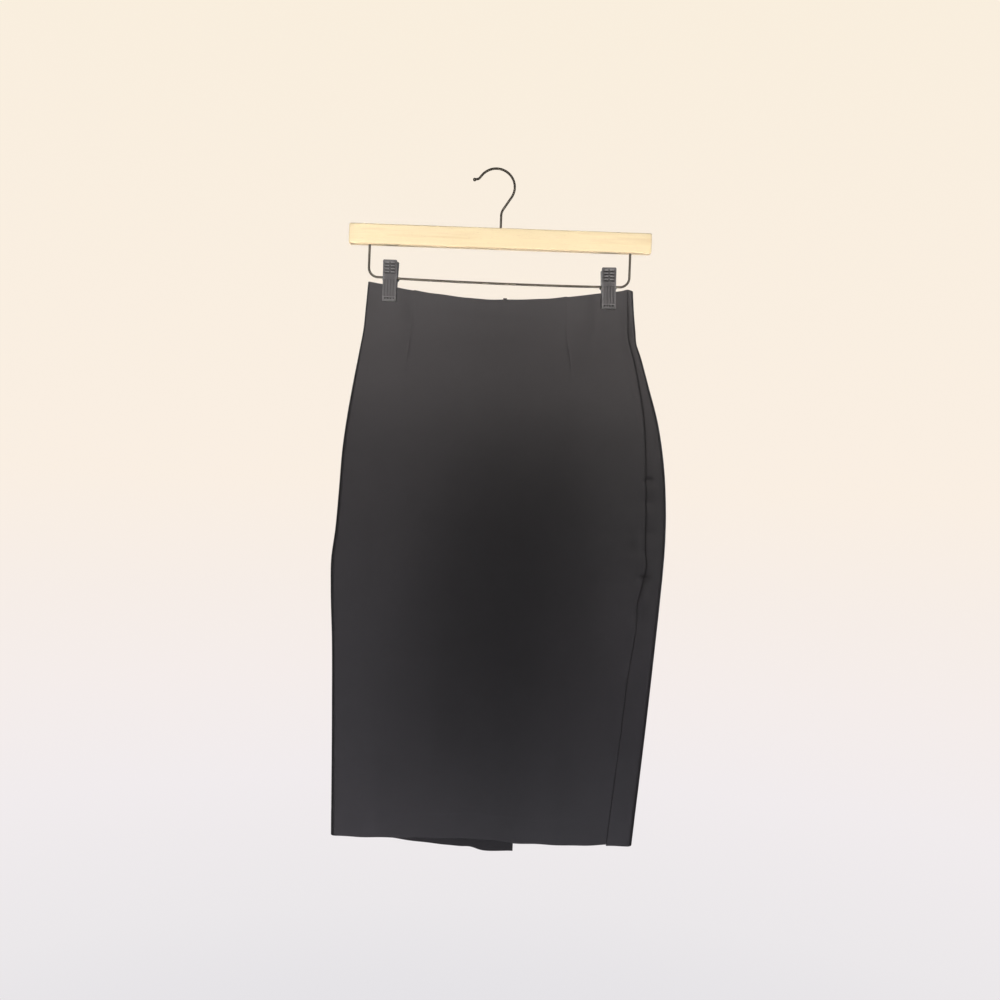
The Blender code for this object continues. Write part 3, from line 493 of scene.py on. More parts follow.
def dart_lift(arc, drop, last):
    """Stitched lines, deepest in their lower half, each with a dimple at its point and a ridge below."""
    lift = np.zeros_like(arc)
    grown = ease(drop / DART_GROWS) * ease((DART_LENGTH - drop) / DART_FADES)
    deeper = DART_DEEPER * float(ease((drop - DART_DEEP_DROP) / DART_DEEP_DROP))
    depth = DART_DEPTH * (DART_SHALLOW + deeper)
    for dart in DARTS:
        off = arc - dart.share * last
        point = drop - (DART_LENGTH - dart.shorter)
        lift -= depth * grown * np.exp(-np.abs(off) / DART_SHARP)
        # the dart's fold lies to the middle, under the cloth beside the line
        lift += DART_FOLD_LIFT * bump(off - dart.toward * DART_FOLD_OFF, DART_FOLD_HALF) * grown
        lift -= dart.dimple * bump(off, DIMPLE_HALF) * bump(point, DIMPLE_HALF * DIMPLE_LONGER)
        lift += RIDGE_HEIGHT * bump(off, RIDGE_HALF) * bump(drop - RIDGE_DROP, RIDGE_DOWN)
    return lift


def hem_lift(arc, drop):
    """The turn-up's upper edge: a low uneven step, drawn in along its stitches."""
    rise = SKIRT_LENGTH - drop
    line = HEM_TURN + waves(arc, HEM_TURN_WAVES)
    step = HEM_TURN_LIFT * ease((line - rise) / HEM_TURN_SOFT + 0.5)
    stitches = 0.6 + 0.4 * np.sin(arc / HEM_STITCH_RADIAN)
    return step - HEM_TURN_PULL * bump(rise - line, HEM_STITCH_HALF) * stitches


def waist_rise(outline, x, arc, past_right, past_left, on_front):
    """The waist edge's own unevenness."""
    places = [(past_right, "right_seam"), (past_left, "left_seam"), (x - SECTIONS[0].left, "left_fold")]
    places += [(x - (clip_x - HANGER_X), "clip") for clip_x in CLIP_X.values()]
    lift = waves(x, WAIST_WAVES)
    for off, kind in places:
        half, height = WAIST_RISES[kind]
        lift = lift + height * bump(off, half)
    if on_front:
        for dart in DARTS:
            off = arc - dart.share * outline.right_seam
            lift = lift + dart.step * (ease(off / DART_STEP_SOFT + 0.5) - 0.5) * bump(off, DART_STEP_HALF)
    return lift * max(1 - outline.drop / WAIST_UNEVEN_OVER, 0.0) ** 2


def hem_fall(x, arc, drop, panel):
    """How far the hem's unevenness lets it down."""
    fade = max(1 - (SKIRT_LENGTH - drop) / HEM_UNEVEN_OVER, 0.0) ** 2
    return fade * (waves(arc, HEM_WAVES) - bumps(x, HEM_RISES[panel]))


def cloth_row(outline, arc, panel):
    """A row of a panel's outer face: x, y, z, the outward direction, the lift and the arc past the back."""
    drop, section = outline.drop, outline.section
    on_front = panel == "front_panel"
    around = np.mod(arc, outline.total)
    x, y, out_x, out_y = at_arc(outline, around)
    on_back = around > outline.fold
    past_right = around - outline.right_seam
    past_centre = around - outline.centre
    past_left = arc - outline.left_seam
    past_left = np.where(past_left < -outline.total / 2, past_left + outline.total, past_left)
    free = 1 - pinch(x, drop)
    lift = np.where(on_back, crease_lift(x, drop, BACK_CREASES), crease_lift(x, drop, FRONT_CREASES))
    lift = lift * ease(np.minimum(x - section.left, section.right - x) / FOLD_FREE)
    lift = lift * (HELD_CREASES + (1 - HELD_CREASES) * free)
    right_shows = grown_from(RIGHT_TOP_SHARE, (drop - RIGHT_TOP_DROP) / RIGHT_TOP_OVER) * seam_shows(drop)
    above_vent = ease((VENT_DROP - drop) / VENT_TOP_SOFT)
    for past, puckers, shows, share in (
        (past_right, RIGHT_PUCKERS, right_shows, 1.0),
        (past_left, LEFT_PUCKERS, 1.0, 1.0),
        (past_centre, CENTRE_PUCKERS, 1.0, above_vent),
    ):
        lift = lift + (seam_lift(past) * shows + crease_lift(past, drop, puckers)) * free * share
    if on_front:
        lift = lift + dart_lift(arc, drop, outline.right_seam) * (HELD_DARTS + (1 - HELD_DARTS) * free)
    lift = lift + hem_lift(arc, drop)
    lift = lift + bumps(drop, FOLD_KINKS) * bump(around - outline.fold, FOLD_KINK_ACROSS)
    z = drop_line(x, drop, on_back, panel) - hem_fall(x, arc, drop, panel)
    z = z + waist_rise(outline, x, arc, past_right, past_left, on_front)
    return eased_out(x), y, z, out_x, out_y, lift, past_centre


def mark_points(obj, name, values):
    """A number for each point of a mesh, which the materials read."""
    marked = obj.data.attributes.new(name, "FLOAT", "POINT")
    marked.data.foreach_set("value", np.asarray(values, np.float32))


def sew_shell(name, outer, inner, across, down, edge, present, material):
    """A closed shell: two grids of points, of which those present are used, that meet round every edge.

    across, down: the cloth's own flat coordinates. edge: how far each point lies from an edge."""
    number = np.full(present.shape, -1)
    number[present] = np.arange(present.sum())
    total = int(present.sum())
    a, b = number[:-1, :-1], number[1:, :-1]
    c, d = number[1:, 1:], number[:-1, 1:]
    whole = (a >= 0) & (b >= 0) & (c >= 0) & (d >= 0)
    quads = np.stack([a[whole], b[whole], c[whole], d[whole]], axis=1)
    sides = np.concatenate([quads[:, pair] for pair in ([0, 1], [1, 2], [2, 3], [3, 0])])
    met = dict.fromkeys(map(tuple, sides.tolist()))
    faces = quads.tolist() + (quads[:, ::-1] + total).tolist()
    faces += [[end, start, start + total, end + total] for start, end in met if (end, start) not in met]
    mesh = bpy.data.meshes.new(name)
    mesh.from_pydata(np.concatenate([outer[present], inner[present]]).tolist(), [], faces)
    mesh.validate()
    loops = np.zeros(len(mesh.loops), np.int32)
    mesh.loops.foreach_get("vertex_index", loops)
    flat = np.stack([across[present] * UV_PER_METRE, -down[present] * UV_PER_METRE], axis=1)
    mesh.uv_layers.new(name="cloth").data.foreach_set("uv", np.concatenate([flat, flat])[loops].ravel())
    mesh.shade_smooth()
    shell = new_object(name, mesh, material)
    # lighter edges: wear on the cloth, and on the clips wear together with a painted highlight
    mark_points(shell, "edge_wear_and_highlight", bump(np.concatenate([edge[present], edge[present]]), EDGE_WEAR_AND_HIGHLIGHT_HALF))
    return shell


def cloth_shell(panel, rows, cut, present, material):
    """A panel's shell, and on its points the painted shade along its seams, and the darker, rougher inside.
    """
    middle, out = np.zeros((2, *present.shape, 3))
    half, edge, stitched, across, down = np.zeros((5, *present.shape))
    for index, outline in enumerate(rows):
        arc = cut.arcs_of(outline)
        x, y, z, out_x, out_y, lift, past = cloth_row(outline, arc, panel)
        inward, lower = cut.tuck_of(outline, arc, past)
        seam, free = cut.edges_of(outline, arc, past)
        off = lift - inward - CLOTH / 2
        middle[index] = np.stack([HANGER_X + x + out_x * off, y + out_y * off, z - lower], axis=1)
        out[index, :, 0] = out_x
        out[index, :, 1] = out_y
        free = np.minimum(free, min(outline.drop, SKIRT_LENGTH - outline.drop))
        half[index] = CLOTH / 2 * rounded(seam / SEAM_ROUND) * rounded(free / (CLOTH / 2))
        edge[index] = free
        # painted shade along the seams, fading in near the waist and lower down
        near_waist = grown_from(SEAM_SHADE_TOP_SHARE, (outline.drop - SEAM_SHADE_TOP_DROP) / SEAM_SHADE_TOP_OVER)
        stitched[index] = bump(seam, SEAM_SHADE_HALF) * near_waist * seam_shows(outline.drop)
        across[index] = arc
        down[index] = outline.drop
    thick = out * half[..., None]
    shell = sew_shell(panel + "_cloth", middle + thick, middle - thick, across, down, edge, present, material)
    mark_points(shell, "seam_shade_and_inside", np.concatenate([stitched[present], np.full(present.sum(), INSIDE_DARKER)]))
    return shell


# ---------------------------------------------------------------- the camera
CAMERA_AT = (0.0176, -1.2, -0.3882)
CAMERA_LENS = 36.71
CAMERA_ROLL_DEG = 2.05


def make_camera():
    """Square to the front, with the roll that lets the hanger hang a little low on the right."""
    camera = bpy.data.objects.new("camera", bpy.data.cameras.new("camera"))
    camera.data.lens = CAMERA_LENS
    camera.data.sensor_width = 36.0
    camera.data.clip_end = 50.0
    level = Matrix.Rotation(math.radians(90.0), 4, "X")
    roll = Matrix.Rotation(math.radians(CAMERA_ROLL_DEG), 4, "Z")
    camera.matrix_world = Matrix.Translation(CAMERA_AT) @ level @ roll
    bpy.context.scene.collection.objects.link(camera)
    bpy.context.scene.camera = camera


# ---------------------------------------------------------------- the three panels
ROW_MARKS = (
    (0.0, 0.0011, 20.0),
    (DART_LENGTH, 0.006, 1.5),
    (RIGHT_DIMPLES[0], 0.006, 3.0),
    (RIGHT_DIMPLES[1], 0.006, 3.0),
    (SKIRT_LENGTH - HEM_TURN, 0.003, 2.5),
    (SKIRT_LENGTH, 0.0011, 20.0),
)
FRONT_MARKS = (
    (0.0, 0.020, 2.5),
    (DARTS[0].share, 0.0103, 5.0),
    (DARTS[1].share, 0.0103, 5.0),
    (1.0, 0.035, 2.0),
    (1.0, 0.0030, 16.0),
)
WRAP_SHARES = closer_at(0.0, 1.0, ((0.0, 0.03, 8.0),), WRAP_COLUMNS + 1)[:-1]
FRONT_SHARES = closer_at(0.0, 1.0, FRONT_MARKS, FRONT_COLUMNS - WRAP_COLUMNS)
LEFT_SHARES = closer_at(0.0, 1.0, ((0.0, 0.040, 2.0), (1.0, 0.0070, 12.0)), BACK_COLUMNS - WRAP_COLUMNS)
RIGHT_SHARES = closer_at(0.0, 1.0, ((0.0, 0.0070, 12.0), (1.0, 0.0070, 12.0)), BACK_COLUMNS)
UNDERLAP_SHARES = closer_at(0.0, 1.0, ((1.0, 0.030, 12.0),), UNDERLAP_COLUMNS + 1)[1:]
NO_EDGE = 1.0  # far from any edge
CURL_OUT, CURL_ACROSS, CURL_BELOW, CURL_OVER = 0.0012, 0.014, 0.060, 0.120

# A panel's cut. arcs_of: a row's places along the girth. edges_of: how far each lies from a seam and from
# a free edge. tuck_of: how far each is set inward and down. columns: all but the underlap's.
Cut = namedtuple("Cut", "arcs_of edges_of tuck_of columns")


def skirt_rows():
    drops = closer_at(0.0, SKIRT_LENGTH, ROW_MARKS, ROW_COUNT)
    drops[np.argmin(np.abs(drops - VENT_DROP))] = VENT_DROP
    return [girth(float(drop)) for drop in drops]


def untucked(outline, arc, past):
    return np.zeros_like(arc), np.zeros_like(arc)


def front_arcs(outline):
    """From the left seam round the left fold, and over the front to the right seam."""
    first = SEAM_GAP / 2 - outline.section.behind
    return np.concatenate([first * (1 - WRAP_SHARES), (outline.right_seam - SEAM_GAP / 2) * FRONT_SHARES])


def front_edges(outline, arc, past):
    seam = np.minimum(arc + outline.section.behind, outline.right_seam - arc)
    return seam, np.full_like(arc, NO_EDGE)


def left_arcs(outline):
    """Round the right fold to the centre back, and on across the vent's underlap."""
    first = outline.right_seam + SEAM_GAP / 2
    wrap = first + (outline.fold - first) * WRAP_SHARES
    rest = outline.fold + (outline.centre - SEAM_GAP / 2 - outline.fold) * LEFT_SHARES
    return np.concatenate([wrap, rest, outline.centre + UNDERLAP * UNDERLAP_SHARES])


def left_edges(outline, arc, past):
    seam = arc - outline.right_seam
    below = outline.drop - VENT_DROP
    if below < 0:
        return np.minimum(seam, np.abs(past)), np.full_like(arc, NO_EDGE)
    free = np.where(past > 0, np.minimum(below, UNDERLAP - past), np.hypot(np.minimum(past, 0.0), below))
    return seam, free


def left_tuck(outline, arc, past):
    """The underlap passes in under the other back panel, and its upper edge slants down."""
    down = ease((outline.drop - VENT_DROP + TUCK_RISE) / TUCK_RISE)
    inward = TUCK * down * ease(1 + np.minimum(past, 0.0) / TUCK_ACROSS)
    to_hem = (SKIRT_LENGTH - outline.drop) / (SKIRT_LENGTH - VENT_DROP)
    return inward, np.where(past > 0, UNDERLAP_SLANT * past * to_hem, 0.0)


def right_arcs(outline):
    first = outline.centre + SEAM_GAP / 2
    return first + (outline.left_seam - SEAM_GAP / 2 - first) * RIGHT_SHARES


def right_edges(outline, arc, past):
    seam = outline.left_seam - arc
    if outline.drop < VENT_DROP:
        return np.minimum(seam, past), np.full_like(arc, NO_EDGE)
    return seam, past


def right_tuck(outline, arc, past):
    """Near the hem the lap's free edge curls out a little."""
    down = ease((outline.drop - VENT_DROP - CURL_BELOW) / CURL_OVER)
    return -CURL_OUT * down * bump(past, CURL_ACROSS), np.zeros_like(arc)


CUTS = {
    "front_panel": Cut(front_arcs, front_edges, untucked, FRONT_COLUMNS),
    "back_panel_left": Cut(left_arcs, left_edges, left_tuck, BACK_COLUMNS),
    "back_panel_right": Cut(right_arcs, right_edges, right_tuck, BACK_COLUMNS),
}


def flat_size(rows, cut):
    """The greatest width, and the area, of a panel laid flat without its underlap."""
    widths = np.array([np.ptp(cut.arcs_of(outline)[: cut.columns]) for outline in rows])
    drops = np.array([outline.drop for outline in rows])
    return float(widths.max()), float(((widths[1:] + widths[:-1]) / 2 * np.diff(drops)).sum())


def make_panels(material):
    rows = skirt_rows()
    in_vent = np.array([outline.drop >= VENT_DROP - 1e-9 for outline in rows])
    for node, cut in CUTS.items():
        present = np.ones((len(rows), len(cut.arcs_of(rows[0]))), bool)
        present[:, cut.columns:] = in_vent[:, None]
        panel = cloth_shell(node, rows, cut, present, material)
        show_instead(panel, node)
        width, area = flat_size(rows, cut)
        if node == "back_panel_left":
            area += UNDERLAP * (SKIRT_LENGTH - VENT_DROP)
            width += UNDERLAP


# ---------------------------------------------------------------- the zip
ZIP_ROW = 0.00037
ROWS_PER_GIRTH = 12
COIL_HALF = 0.0019
COIL_PITCH = 0.00125
COIL_SOFT = 0.0003
COIL_DEPTH, TOOTH_DEPTH = 0.00018, 0.00030
TAPE_DEPTH = 0.00042
WEAVE_DEPTH, WEAVE_RADIAN = 0.00003, 0.00021


def make_zip(material):
    """A woven tape flat against the seam, with the closed coil's turns down its middle."""
    drops = np.arange(SLIDER_REACH + GAP + WAIST_SAG, ZIP_LENGTH, ZIP_ROW)
    marks = ((-COIL_HALF, COIL_SOFT, 4.0), (COIL_HALF, COIL_SOFT, 4.0), (0.0, 0.0002, 4.0))
    offs = closer_at(-ZIP_HALF, ZIP_HALF, marks, 27)
    on_coil = ease((COIL_HALF - np.abs(offs)) / COIL_SOFT + 0.5)
    meet = 1 - 0.55 * bump(offs, 0.00025)
    weave = WEAVE_DEPTH * np.sin(offs / WEAVE_RADIAN) * (1 - on_coil)
    shape = (len(drops), len(offs))
    outer, inner = np.zeros((2, *shape, 3))
    for index, drop in enumerate(drops):
        if index % ROWS_PER_GIRTH == 0:
            outline = girth(float(drop))
            x, y, out_x, out_y = at_arc(outline, outline.centre + offs)
        z = drop_line(x, drop, np.ones_like(x, bool), "back_panel_left")
        tooth = 0.5 + 0.5 * np.cos(2 * math.pi * (drop / COIL_PITCH + np.where(offs > 0, 0.5, 0.0)))
        depth = TAPE_DEPTH + on_coil * (COIL_DEPTH + TOOTH_DEPTH * tooth * meet)
        for grid, inward in ((outer, WALL + GAP), (inner, WALL + GAP + depth + weave)):
            at_x = HANGER_X + eased_out(x) - out_x * inward
            grid[index] = np.stack([at_x, y - out_y * inward, z], axis=1)
    across = np.broadcast_to(offs, shape)
    down = np.broadcast_to(drops[:, None], shape)
    edge = ZIP_HALF - np.abs(across)
    tape = sew_shell("zip_tape_woven", outer, inner, across, down, edge, np.ones(shape, bool), material)
    show_instead(tape, "zip_tape")


# ---------------------------------------------------------------- wires
RAIL_LEFT_RISE = 0.0018  # the rail is a little bent: higher at its left end


def corner(before, at, after, radius, steps=14):
    """Points of the arc that rounds a corner of a path off to a radius."""
    back, on = (before - at).normalized(), (after - at).normalized()
    half = back.angle(on) / 2
    centre = at + (back + on).normalized() * (radius / math.sin(half))
    first = (at + back * (radius / math.tan(half)) - centre).normalized()
    last = (at + on * (radius / math.tan(half)) - centre).normalized()
    return [centre + radius * first.slerp(last, step / steps) for step in range(steps + 1)]


def straight(start, end, steps=8):
    return [start.lerp(end, step / steps) for step in range(steps)]


def tube(name, points, radii, material, sides=24):
    """A round wire along a path in the hanger's own plane."""
    turns = [2 * math.pi * number / sides for number in range(sides)]
    rings = []
    for index, (point, radius) in enumerate(zip(points, radii)):
        along = (points[min(index + 1, len(points) - 1)] - points[max(index - 1, 0)]).normalized()
        side = Vector((-along.z, 0.0, along.x))
        rings.append([point + (side * math.cos(turn) + Vector((0.0, math.sin(turn), 0.0))) * radius
                      for turn in turns])
    mesh = skinned(name, rings)
    sharpen(mesh, 50.0)
    return new_object(name, mesh, material)


def make_hook(material):
    """Up the stem, out to the right, round the bend, and down to the ball at its end."""
    centre = Vector((0.0, 0.0, WIRE_R - HOOK_R))
    stem = Vector((HANGER_X, 0.0, BAR_TOP_Z - STEM_SOCKET + GAP))
    neck = Vector((HANGER_X, 0.0, HOOK_NECK_Z))
    to_neck = neck - centre
    start = math.atan2(to_neck.z, to_neck.x) + math.acos(HOOK_R / to_neck.length)
    end = math.radians(HOOK_END_DEG)
    bend = [centre + HOOK_R * Vector((math.cos(a), 0.0, math.sin(a))) for a in np.linspace(start, end, 90)]
    flick = bend[-1] + HOOK_FLICK * Vector((-math.sin(end), 0.0, math.cos(end)))
    tip = Vector((HOOK_TIP[0], 0.0, HOOK_TIP[1]))
    neck_bend = corner(stem, neck, bend[0], HOOK_NECK_R, 20)
    points = straight(stem, neck_bend[0]) + neck_bend + bend[1:]
    points += corner(bend[-1], flick, tip, HOOK_TIP_R)[1:]
    last = points[-1].copy()
    along = (tip - last).normalized()
    before_ball = (tip - last).length - math.sqrt(HOOK_BALL_R**2 - WIRE_R**2)
    points += [last + along * float(reach) for reach in np.linspace(0.0005, before_ball, 3)]
    radii = [WIRE_R] * len(points)
    for turn in np.linspace(math.asin(WIRE_R / HOOK_BALL_R), math.pi - 0.16, 16)[1:]:
        points.append(tip - along * (HOOK_BALL_R * math.cos(turn)))
        radii.append(HOOK_BALL_R * math.sin(turn))
    show_instead(tube("hook_wire", points, radii, material), "hook")


def make_rail(material):
    top = BAR_UNDER_Z + RAIL_SOCKET - GAP
    left, right = HANGER_X - RAIL_HALF, HANGER_X + RAIL_HALF
    places = ((left, top), (left, RAIL_Z + RAIL_LEFT_RISE), (right, RAIL_Z), (right, top))
    corners = [Vector((x, 0.0, z)) for x, z in places]
    first = corner(*corners[:3], RAIL_CORNER_R)
    last = corner(*corners[1:], RAIL_CORNER_R)
    low = []
    for x in np.linspace(first[-1].x, last[0].x, 60)[1:-1]:
        sag = RAIL_SAG * (1 - ((x - HANGER_X) / RAIL_HALF) ** 2)
        blend = float(ease((RAIL_HALF - RAIL_CORNER_R - abs(x - HANGER_X)) / 0.030))
        rise = RAIL_LEFT_RISE * (right - x) / (2 * RAIL_HALF)
        low.append(Vector((x, 0.0, RAIL_Z + rise - sag * blend)))
    points = straight(corners[0], first[0]) + first + low + last
    points += straight(last[-1], corners[3])[1:] + [corners[3]]
    show_instead(tube("clip_rail_wire", points, [WIRE_R] * len(points), material), "clip_rail")


# ---------------------------------------------------------------- the wooden bar
BAR_ROUND = 0.0019
BAR_END_ROUND = 0.0017
SOCKET_SPARE = 0.00025
BAR_RINGS = 120
SIDE_STEPS = (4, 9, 4, 9)  # along the rounded rectangle's four sides
PLANED_Y, PLANED_Z = 0.00012, 0.0001  # off each face, so that the uneven ones stay inside the solid's
BAR_LONG_WAVE, BAR_SHORT_WAVE = 0.00007, 0.00004


def bar_section(half_y, half_z, radius):
    """A rounded rectangle's points, with enough along its sides for a planed, uneven face."""
    flat_y, flat_z = half_y - radius, half_z - radius
    middles = ((flat_y, flat_z), (-flat_y, flat_z), (-flat_y, -flat_z), (flat_y, -flat_z))
    arcs = []
    for quarter, (y, z) in enumerate(middles):
        turns = quarter * math.pi / 2 + np.linspace(0.0, math.pi / 2, 7)
        arcs.append([(y + radius * math.cos(turn), z + radius * math.sin(turn)) for turn in turns])
    outline = []
    for arc, following, steps in zip(arcs, arcs[1:] + arcs[:1], SIDE_STEPS):
        (y, z), (next_y, next_z) = arc[-1], following[0]
        outline += arc
        for step in range(1, steps):
            outline.append((y + (next_y - y) * step / steps, z + (next_z - z) * step / steps))
    return outline


def make_bar(material):
    half_x = BAR_LENGTH / 2
    middle_z = BAR_TOP_Z - BAR_HEIGHT / 2
    rings = []
    for x in closer_at(-half_x, half_x, ((-half_x, 0.0022, 9.0), (half_x, 0.0022, 9.0)), BAR_RINGS):
        near = min(half_x - abs(x), BAR_END_ROUND) / BAR_END_ROUND
        inset = BAR_END_ROUND * (1 - math.sqrt(1 - (1 - near) ** 2)) * 0.9
        ring = []
        for y, z in bar_section(BAR_DEPTH / 2 - inset, BAR_HEIGHT / 2 - inset, BAR_ROUND):
            uneven = BAR_LONG_WAVE * math.sin(x / 0.023 + z / 0.011)
            uneven += BAR_SHORT_WAVE * math.sin(x / 0.0071 + y / 0.004)
            scale = 1 - (PLANED_Y - uneven) / (BAR_DEPTH / 2)
            ring.append((HANGER_X + x, y * scale, middle_z + z * (1 - PLANED_Z / (BAR_HEIGHT / 2))))
        rings.append(ring)
    bar = new_object("wooden_bar", skinned("wooden_bar", rings, -1), material)
    sockets = (
        (HANGER_X, BAR_TOP_Z - STEM_SOCKET, BAR_TOP_Z + 0.002),
        (HANGER_X - RAIL_HALF, BAR_UNDER_Z - 0.002, BAR_UNDER_Z + RAIL_SOCKET),
        (HANGER_X + RAIL_HALF, BAR_UNDER_Z - 0.002, BAR_UNDER_Z + RAIL_SOCKET),
    )
    for x, low_z, high_z in sockets:
        points = [Vector((x, 0.0, low_z)), Vector((x, 0.0, high_z))]
        bore = tube("bore", points, [WIRE_R + SOCKET_SPARE] * 2, material, 28)
        cut = bar.modifiers.new("bore", "BOOLEAN")
        cut.object = bore
        cut.operation = "DIFFERENCE"
        cut.solver = "EXACT"
        shape = bpy.data.meshes.new_from_object(bar.evaluated_get(bpy.context.evaluated_depsgraph_get()))
        bar.modifiers.clear()
        bar.data = shape
        bpy.data.objects.remove(bore)
    bar.data.shade_smooth()
    sharpen(bar.data, 55.0)
    show_instead(bar, "hanger_bar")


# ---------------------------------------------------------------- the clips
# Heights (..._H) are from the rail. Of each jaw: how far its outer and inner faces lie from the rail.
JAW_TIP_H, JAW_TOP_H = -0.0266, 0.0212
JAW_OUTER = ((JAW_TIP_H, -0.0254, -0.0060, 0.0025, JAW_TOP_H), (0.0037, 0.0042, 0.0048, 0.0054, 0.0084))
JAW_INNER = ((JAW_TIP_H, -0.0120, -0.0040, 0.0030, JAW_TOP_H), (0.00195, 0.00195, 0.0018, 0.0018, 0.0060))
JAW_ROUND = 0.0006
JAW_WIDER = {"clip_right": 1.015, "clip_left": 1.045}
CLIP_TURN_DEG = {"clip_right": 0.0, "clip_left": 1.6}  # how far each clip hangs off square to the rail
# how far the back jaws lean at the top: towards the hanger's middle, and up
BACK_LEAN = {"clip_right": (0.0009, 0.0007), "clip_left": (0.0001, -0.0008)}
PAD_CORNER = 0.0017
PAD_WIDER = 0.00020
PAD_CROWN = 0.00030
FOOT_CORNER = 0.0008
EAR_WIDE, EAR_HALF = 0.0016, 0.0017  # the back jaw's ears, at the rail
RIB_ROWS, RIB_PITCH, RIB_TOP_H = 4, 0.0035, 0.0161
RIB_HALF, RIB_HEIGHT, RIB_DEPTH, RIB_X = 0.00245, 0.0015, 0.00110, 0.00350
MOULD_SOFT, RIB_SOFT = 0.00024, 0.00030  # over how much their edges slope
RIDGE_LIFT, RIDGE_UP = 0.00038, 0.00070  # the ridges between the ribs
GROOVE_PLACES = (-0.0051, -0.0017, 0.0017, 0.0051)
GROOVE_HALF, GROOVE_DEPTH, GROOVE_SOFT, GROOVE_END_SOFT = 0.0006, 0.00034, 0.00036, 0.0005
GROOVE_TOP_H, GROOVE_END_H = -0.0010, -0.0206
PIT_HALF, PIT_DEPTH, PIT_H = 0.00085, 0.0014, -0.0232
DOT_HALF, DOT_DEPTH, DOT_H = 0.00052, 0.00040, 0.0015  # a small dot above each groove
FIELD_HALF, FIELD_DEPTH, FIELD_END_H = 0.0069, 0.00016, -0.0214  # the sunk field of the grooves


def edge_marks(places, half, closer):
    return tuple((place, half, closer) for place in places)


def both_sides(places, half):
    return [at + end * half for at in places for end in (-1, 1)]


RIB_HEIGHTS = tuple(RIB_TOP_H - row * RIB_PITCH for row in range(RIB_ROWS))
JAW_HEIGHTS = closer_at(
    JAW_TIP_H, JAW_TOP_H,
    edge_marks((JAW_TIP_H, JAW_TOP_H), 0.0005, 10.0)
    + edge_marks(both_sides(RIB_HEIGHTS, RIB_HEIGHT / 2), 0.00020, 8.0)
    + edge_marks((PIT_H - PIT_HALF, PIT_H + PIT_HALF, GROOVE_TOP_H, 0.0009, 0.0021), 0.00020, 8.0),
    124,
)
JAW_PLACES = closer_at(
    -CLIP_HALF, CLIP_HALF,
    edge_marks((-CLIP_HALF, CLIP_HALF), 0.0005, 10.0)
    + edge_marks(both_sides(GROOVE_PLACES, GROOVE_HALF), 0.00018, 7.0)
    + edge_marks(both_sides((-RIB_X, RIB_X), RIB_HALF), 0.00018, 7.0)
    + edge_marks((-FIELD_HALF, FIELD_HALF), 0.00018, 5.0),
    100,
)


def soft_box(off, half, soft):
    return ease((half - np.abs(off)) / soft + 0.5)


def jaw_half_width(height, side):
    """The pad at the top is a little wider than the foot. Both are rounded off at their corners."""
    top = np.clip(1 - (JAW_TOP_H - height) / PAD_CORNER, 0.0, 1.0)
    foot = np.clip(1 - (height - JAW_TIP_H) / FOOT_CORNER, 0.0, 1.0)
    off = PAD_CORNER * (1 - np.sqrt(1 - top**2)) + FOOT_CORNER * (1 - np.sqrt(1 - foot**2))
    ears = 0.00020 * bump(height + 0.0004, 0.0030)
    if side > 0:
        ears = ears + EAR_WIDE * ease(1.5 - np.abs(height + 0.0003) / EAR_HALF)
    return CLIP_HALF - off + PAD_WIDER * ease((height - 0.0005) / 0.003) + ears


def jaw_relief(x, height):
    """A crowned pad with two columns of sunk ribs, and below it a field with grooves, dots and pits."""
    relief = -PAD_CROWN * (x / CLIP_HALF) ** 2 * ease(height / 0.004)
    for at in RIB_HEIGHTS:
        for middle in (-RIB_X, RIB_X):
            aside = soft_box(x - middle, RIB_HALF, MOULD_SOFT)
            relief = relief - RIB_DEPTH * aside * soft_box(height - at, RIB_HEIGHT / 2, RIB_SOFT)
            relief = relief + RIDGE_LIFT * aside * bump(height - at - RIB_PITCH / 2, RIDGE_UP)
    middle, half = (GROOVE_TOP_H + GROOVE_END_H) / 2, (GROOVE_TOP_H - GROOVE_END_H) / 2
    along = soft_box(height - middle, half, GROOVE_END_SOFT)
    for at in GROOVE_PLACES:
        relief = relief - GROOVE_DEPTH * along * soft_box(x - at, GROOVE_HALF, GROOVE_SOFT)
        pit = soft_box(x - at, PIT_HALF, MOULD_SOFT) * soft_box(height - PIT_H, PIT_HALF, MOULD_SOFT)
        relief = relief - PIT_DEPTH * pit
        relief = relief - DOT_DEPTH * bump(x - at, DOT_HALF) * bump(height - DOT_H, DOT_HALF)
    field = ease((FIELD_HALF - np.abs(x)) / 0.0003 + 0.5) * ease((0.0001 - height) / 0.001)
    return relief - FIELD_DEPTH * field * ease((height - FIELD_END_H) / 0.0004 + 0.5)


